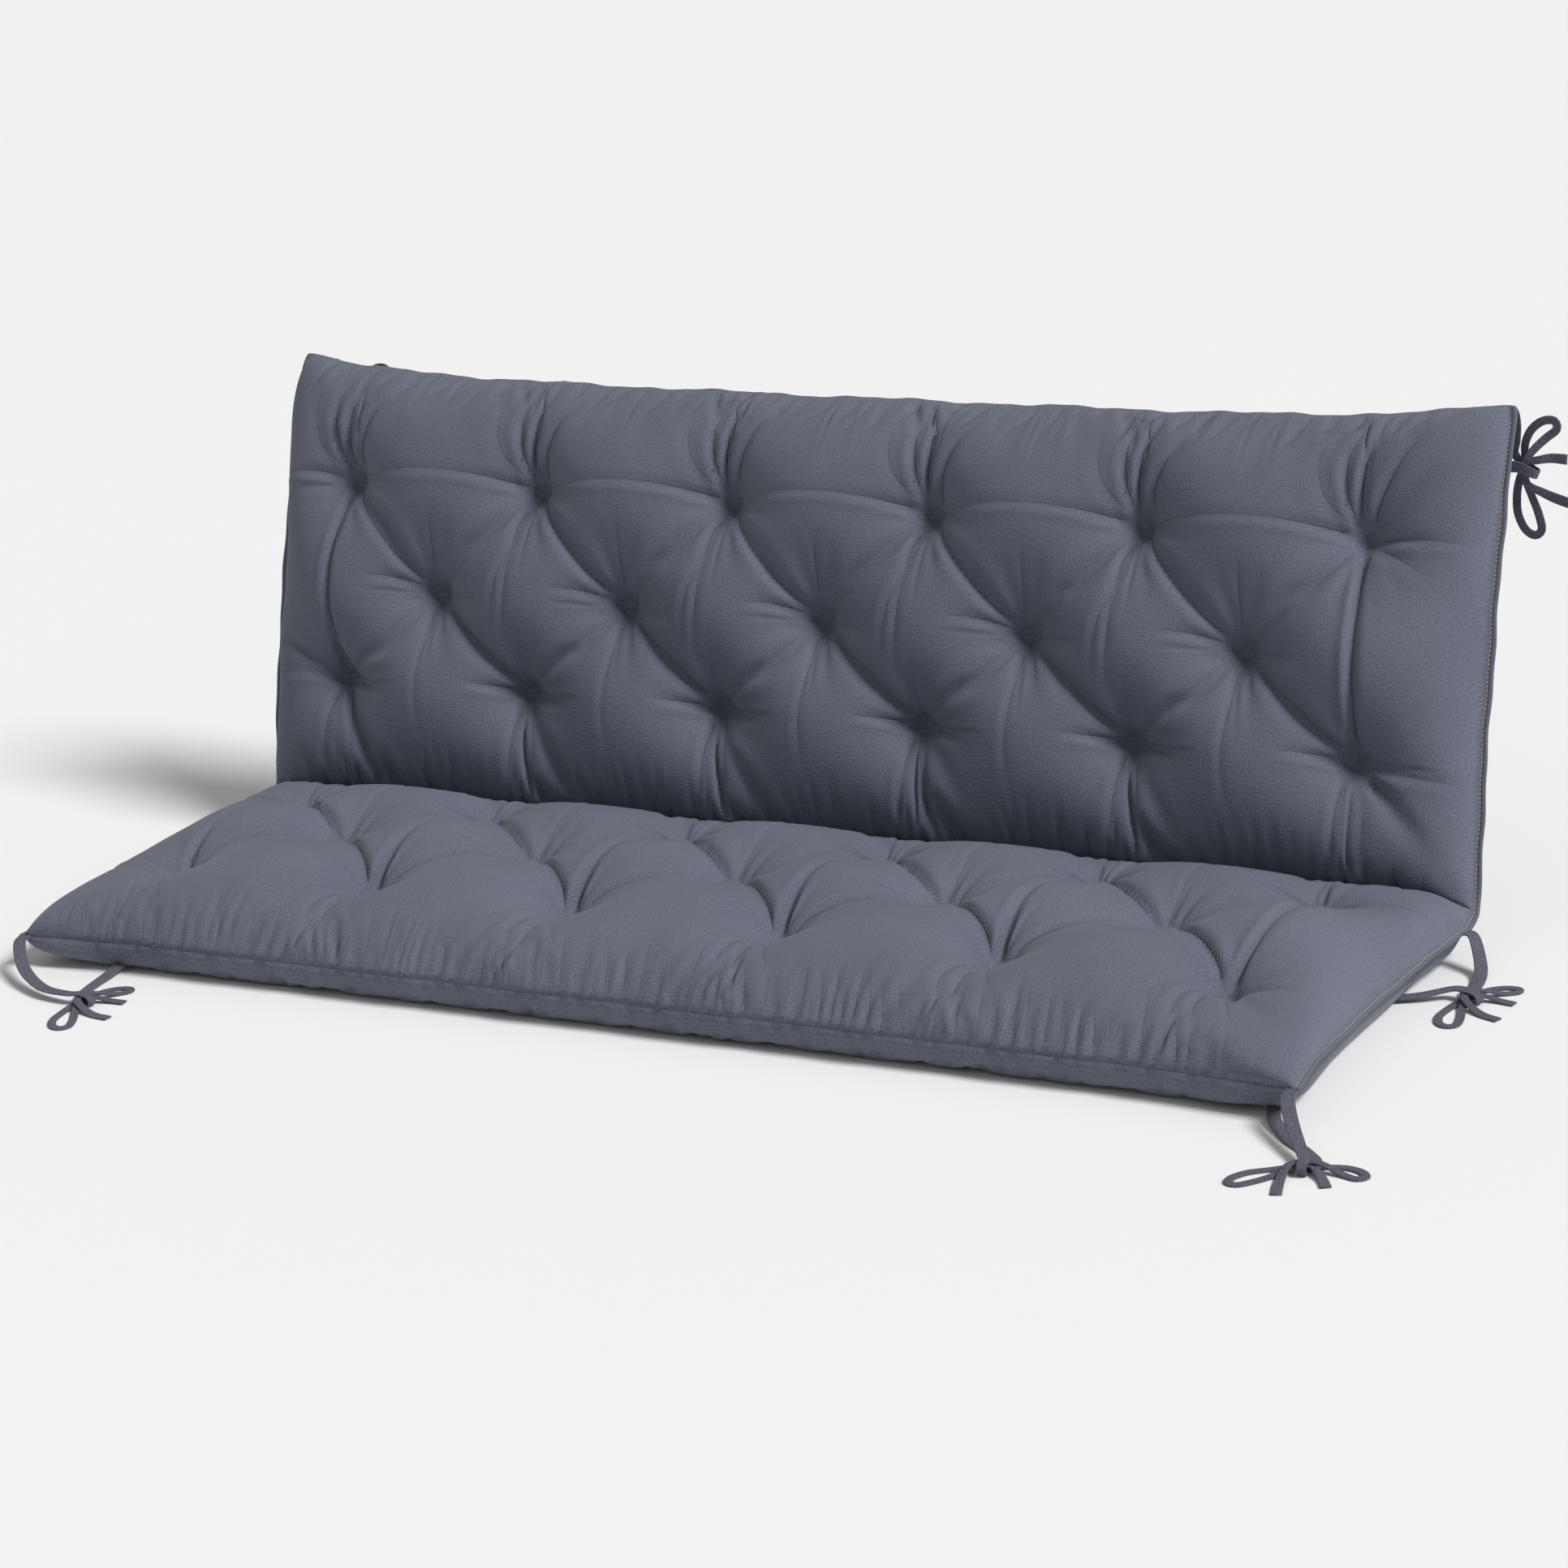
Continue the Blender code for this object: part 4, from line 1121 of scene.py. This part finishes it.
def drawn_relief(xs, ss):
    """How far the cloth is drawn in or stands up along its normal, and where its sharp folds lie."""
    valley, ridges = np.zeros((len(xs), len(ss))), np.zeros((len(xs), len(ss)))
    folds = np.zeros((len(xs), len(ss), 3))
    folds[..., 0] = folds[..., 2] = FOLD_LINE["far"]
    lines = gather_lines() + pucker_lines()
    for name, panel in PANELS.items():
        lines += panel_lines(name, panel)
    for line in lines:
        draw_line(valley, ridges, folds, xs, ss, line)
    x, s = np.meshgrid(xs, ss, indexing="ij")
    pit, eased = np.zeros_like(valley), np.ones_like(valley)
    for tx, ts in TUFTS:
        r = np.hypot(x - tx, s - ts)
        deep = PIT["depth"] * np.exp(-((r / PIT["reach"]) ** PIT["power"]))
        pit = np.maximum(pit, deep + PIT["bowl"] * bell(r, PIT["bowl reach"]))
        eased = np.minimum(eased, 1.0 - EASED["share"] * bell(r, EASED["reach"]))
    side = WIDTH / 2 - STITCH_INSET - np.abs(x)
    edge = unit(np.minimum(np.minimum(s, LENGTH - s), side) / EDGE_FADE)
    fold = unit((np.abs(s - SEAT_DEPTH) - FOLD_FADE["from"]) / FOLD_FADE["over"])
    apart = unit((folds[..., 2] - np.abs(folds[..., 0])) / FOLD_LINE["apart"])
    folds[..., 1] *= edge * fold * apart**2
    return ((ridges - valley) * eased - pit) * edge * fold, folds


# Round a rear face of two grid lines each way; the points halfway are only used at the rim.
REAR_RING = ((0, 0), (1, 0), (2, 0), (2, 1), (2, 2), (1, 2), (0, 2), (0, 1))


def rim_path(columns, rows):
    """The grid's outer points in order, as (column, row)."""
    last_c, last_r = columns - 1, rows - 1
    path = [(c, 0) for c in range(last_c)] + [(last_c, r) for r in range(last_r)]
    path += [(last_c - c, last_r) for c in range(last_c)] + [(0, last_r - r) for r in range(last_r)]
    return path


def make_pad(sheets, look):
    """The front cloth has every grid line and the rear every second one; a sunk seam joins them all round."""
    x, s, front, rear, folds = sheets
    columns, rows = x.shape
    points, cloth, sharp, index = [], [], [], {}
    edge, end = WIDTH / 2 - SEAM_SUNK, LENGTH - SEAM_SUNK
    sunk = pad_points(np.clip(x, -edge, edge), np.clip(s, SEAM_SUNK, end), np.zeros_like(x))
    layers = {"front": front, "rear": rear, "seam": sunk}

    def corner(side, c, r):
        key = (side, c, r)
        if key not in index:
            index[key] = len(points)
            points.append(tuple(layers[side][c, r]))
            cloth.append((x[c, r], s[c, r]))
            sharp.append(folds[c, r, :2] if side == "front" else (0.0, 0.0))
        return index[key]

    faces = []
    for c in range(columns - 1):
        for r in range(rows - 1):
            faces.append([corner("front", *p) for p in ((c, r), (c + 1, r), (c + 1, r + 1), (c, r + 1))])
    for c in range(0, columns - 1, 2):
        for r in range(0, rows - 1, 2):
            ring = [(c + i, r + j) for i, j in REAR_RING]
            ring = [p for p in ring if sum(p) % 2 == 0 or p[0] in (0, columns - 1) or p[1] in (0, rows - 1)]
            faces.append([corner("rear", *p) for p in reversed(ring)])
    path = rim_path(columns, rows)
    for a, b in zip(path, path[1:] + path[:1]):
        for low, high in (("front", "seam"), ("seam", "rear")):
            faces.append([corner(low, *b), corner(low, *a), corner(high, *a), corner(high, *b)])
    made = cloth_object("pad_cloth", points, faces, cloth, look)
    write_layer(made.data, "folds", sharp)
    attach(made, "root")
    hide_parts("pad")


# ---- the topstitch beside the side seams ----
STITCH_PITCH = 0.0046
STITCH_LENGTH = 0.0034
STITCH_RADIUS = 0.00068
STITCH_ENDS = 0.010
STITCH_SUNK = 0.0001
STITCH_SIDES = 6
STITCH_LIFT = 0.9
# A stitch's rings: their place along it and their radius, as shares.
STITCH_RINGS = ((-1.0, 0.35), (-0.8, 0.85), (0.0, 1.0), (0.8, 0.85), (1.0, 0.35))


def stitch_row(line, normals):
    """The middle, run and normal of each stitch along one row."""
    reach = np.concatenate([[0.0], np.cumsum(np.linalg.norm(np.diff(line, axis=0), axis=1))])
    count = int((reach[-1] - 2 * STITCH_ENDS) / STITCH_PITCH)
    marks = STITCH_ENDS + STITCH_PITCH * np.arange(count)

    def along(values, at):
        return np.stack([np.interp(at, reach, values[:, k]) for k in range(3)], axis=-1)

    runs = along(line, marks + STITCH_LENGTH / 2) - along(line, marks - STITCH_LENGTH / 2)
    return zip(along(line, marks), runs, along(normals, marks))


def make_topstitch(sheets, look):
    """Rows of thread through both cloths along the side seams, each a short run that dips in at its ends."""
    x, s, front, rear, _ = sheets
    flange = COLUMN_CELLS[0]
    corners, faces, cloth = [], [], []
    for sheet, way in ((front, 1.0), (rear, -1.0)):
        normals = outward(sheet) * way
        for column in (flange, len(x) - 1 - flange):
            for middle, run, normal in stitch_row(sheet[column], normals[column]):
                run = run / np.linalg.norm(run)
                side = np.cross(run, normal)
                side /= np.linalg.norm(side)
                up = np.cross(side, run)
                first = len(corners)
                for t, share in STITCH_RINGS:
                    lift = STITCH_RADIUS * (share - STITCH_LIFT) + STITCH_SUNK
                    centre = middle + run * t * STITCH_LENGTH / 2 + up * lift
                    for k in range(STITCH_SIDES):
                        angle = 2.0 * math.pi * k / STITCH_SIDES
                        off = side * math.cos(angle) + up * math.sin(angle)
                        corners.append(tuple(centre + off * STITCH_RADIUS * share))
                        cloth.append((angle * STITCH_RADIUS, t * STITCH_LENGTH / 2))
                faces += [face[::-1] for face in tube_faces(first, len(STITCH_RINGS), STITCH_SIDES)]
    made = cloth_object("side_topstitch", corners, faces, cloth, look)
    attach(made, "root")


# ---- floor and light ----
def make_floor():
    bpy.ops.mesh.primitive_plane_add(size=FLOOR_SIZE, location=(0.0, 0.0, 0.0))
    floor = bpy.context.object
    floor.name = "floor"
    floor.data.materials.append(new_material("pale floor", FLOOR_LOOK))


def make_light():
    """A broad high light from the pad's right, and the pale room round it."""
    world = bpy.data.worlds.new("studio")
    world.use_nodes = True
    room = world.node_tree.nodes["Background"].inputs
    room["Color"].default_value = (1.0, 1.0, 1.0, 1.0)
    room["Strength"].default_value = ROOM_LIGHT
    bpy.context.scene.world = world
    data = bpy.data.lights.new("key", "SUN")
    data.energy = KEY_LIGHT
    data.angle = KEY_SOFTNESS
    lamp = bpy.data.objects.new("key", data)
    lamp.rotation_euler = direction(KEY_AZIMUTH, KEY_ELEVATION).to_track_quat("Z", "Y").to_euler()
    bpy.context.scene.collection.objects.link(lamp)
    bpy.context.scene.view_settings.view_transform = "Standard"


make_camera()
WEAVE = weave_group()
CLOTH_LOOK = cloth_material("slate canvas", WEAVE, CANVAS, CANVAS_RELIEF)
# The sharp folds' grooves, with painted shade in the cloth's colour along them.
add_folds_and_painted_shade(CLOTH_LOOK, fold_and_painted_shade_group())
TAPE_LOOK = cloth_material("tape twill", WEAVE, TWILL, TWILL_RELIEF)
THREAD_LOOK = cloth_material("topstitch thread", WEAVE, THREAD, THREAD_RELIEF)
make_tapes(TAPE_LOOK)
PAD_SHEETS = pad_sheets()
make_pad(PAD_SHEETS, CLOTH_LOOK)
make_topstitch(PAD_SHEETS, THREAD_LOOK)
make_floor()
make_light()
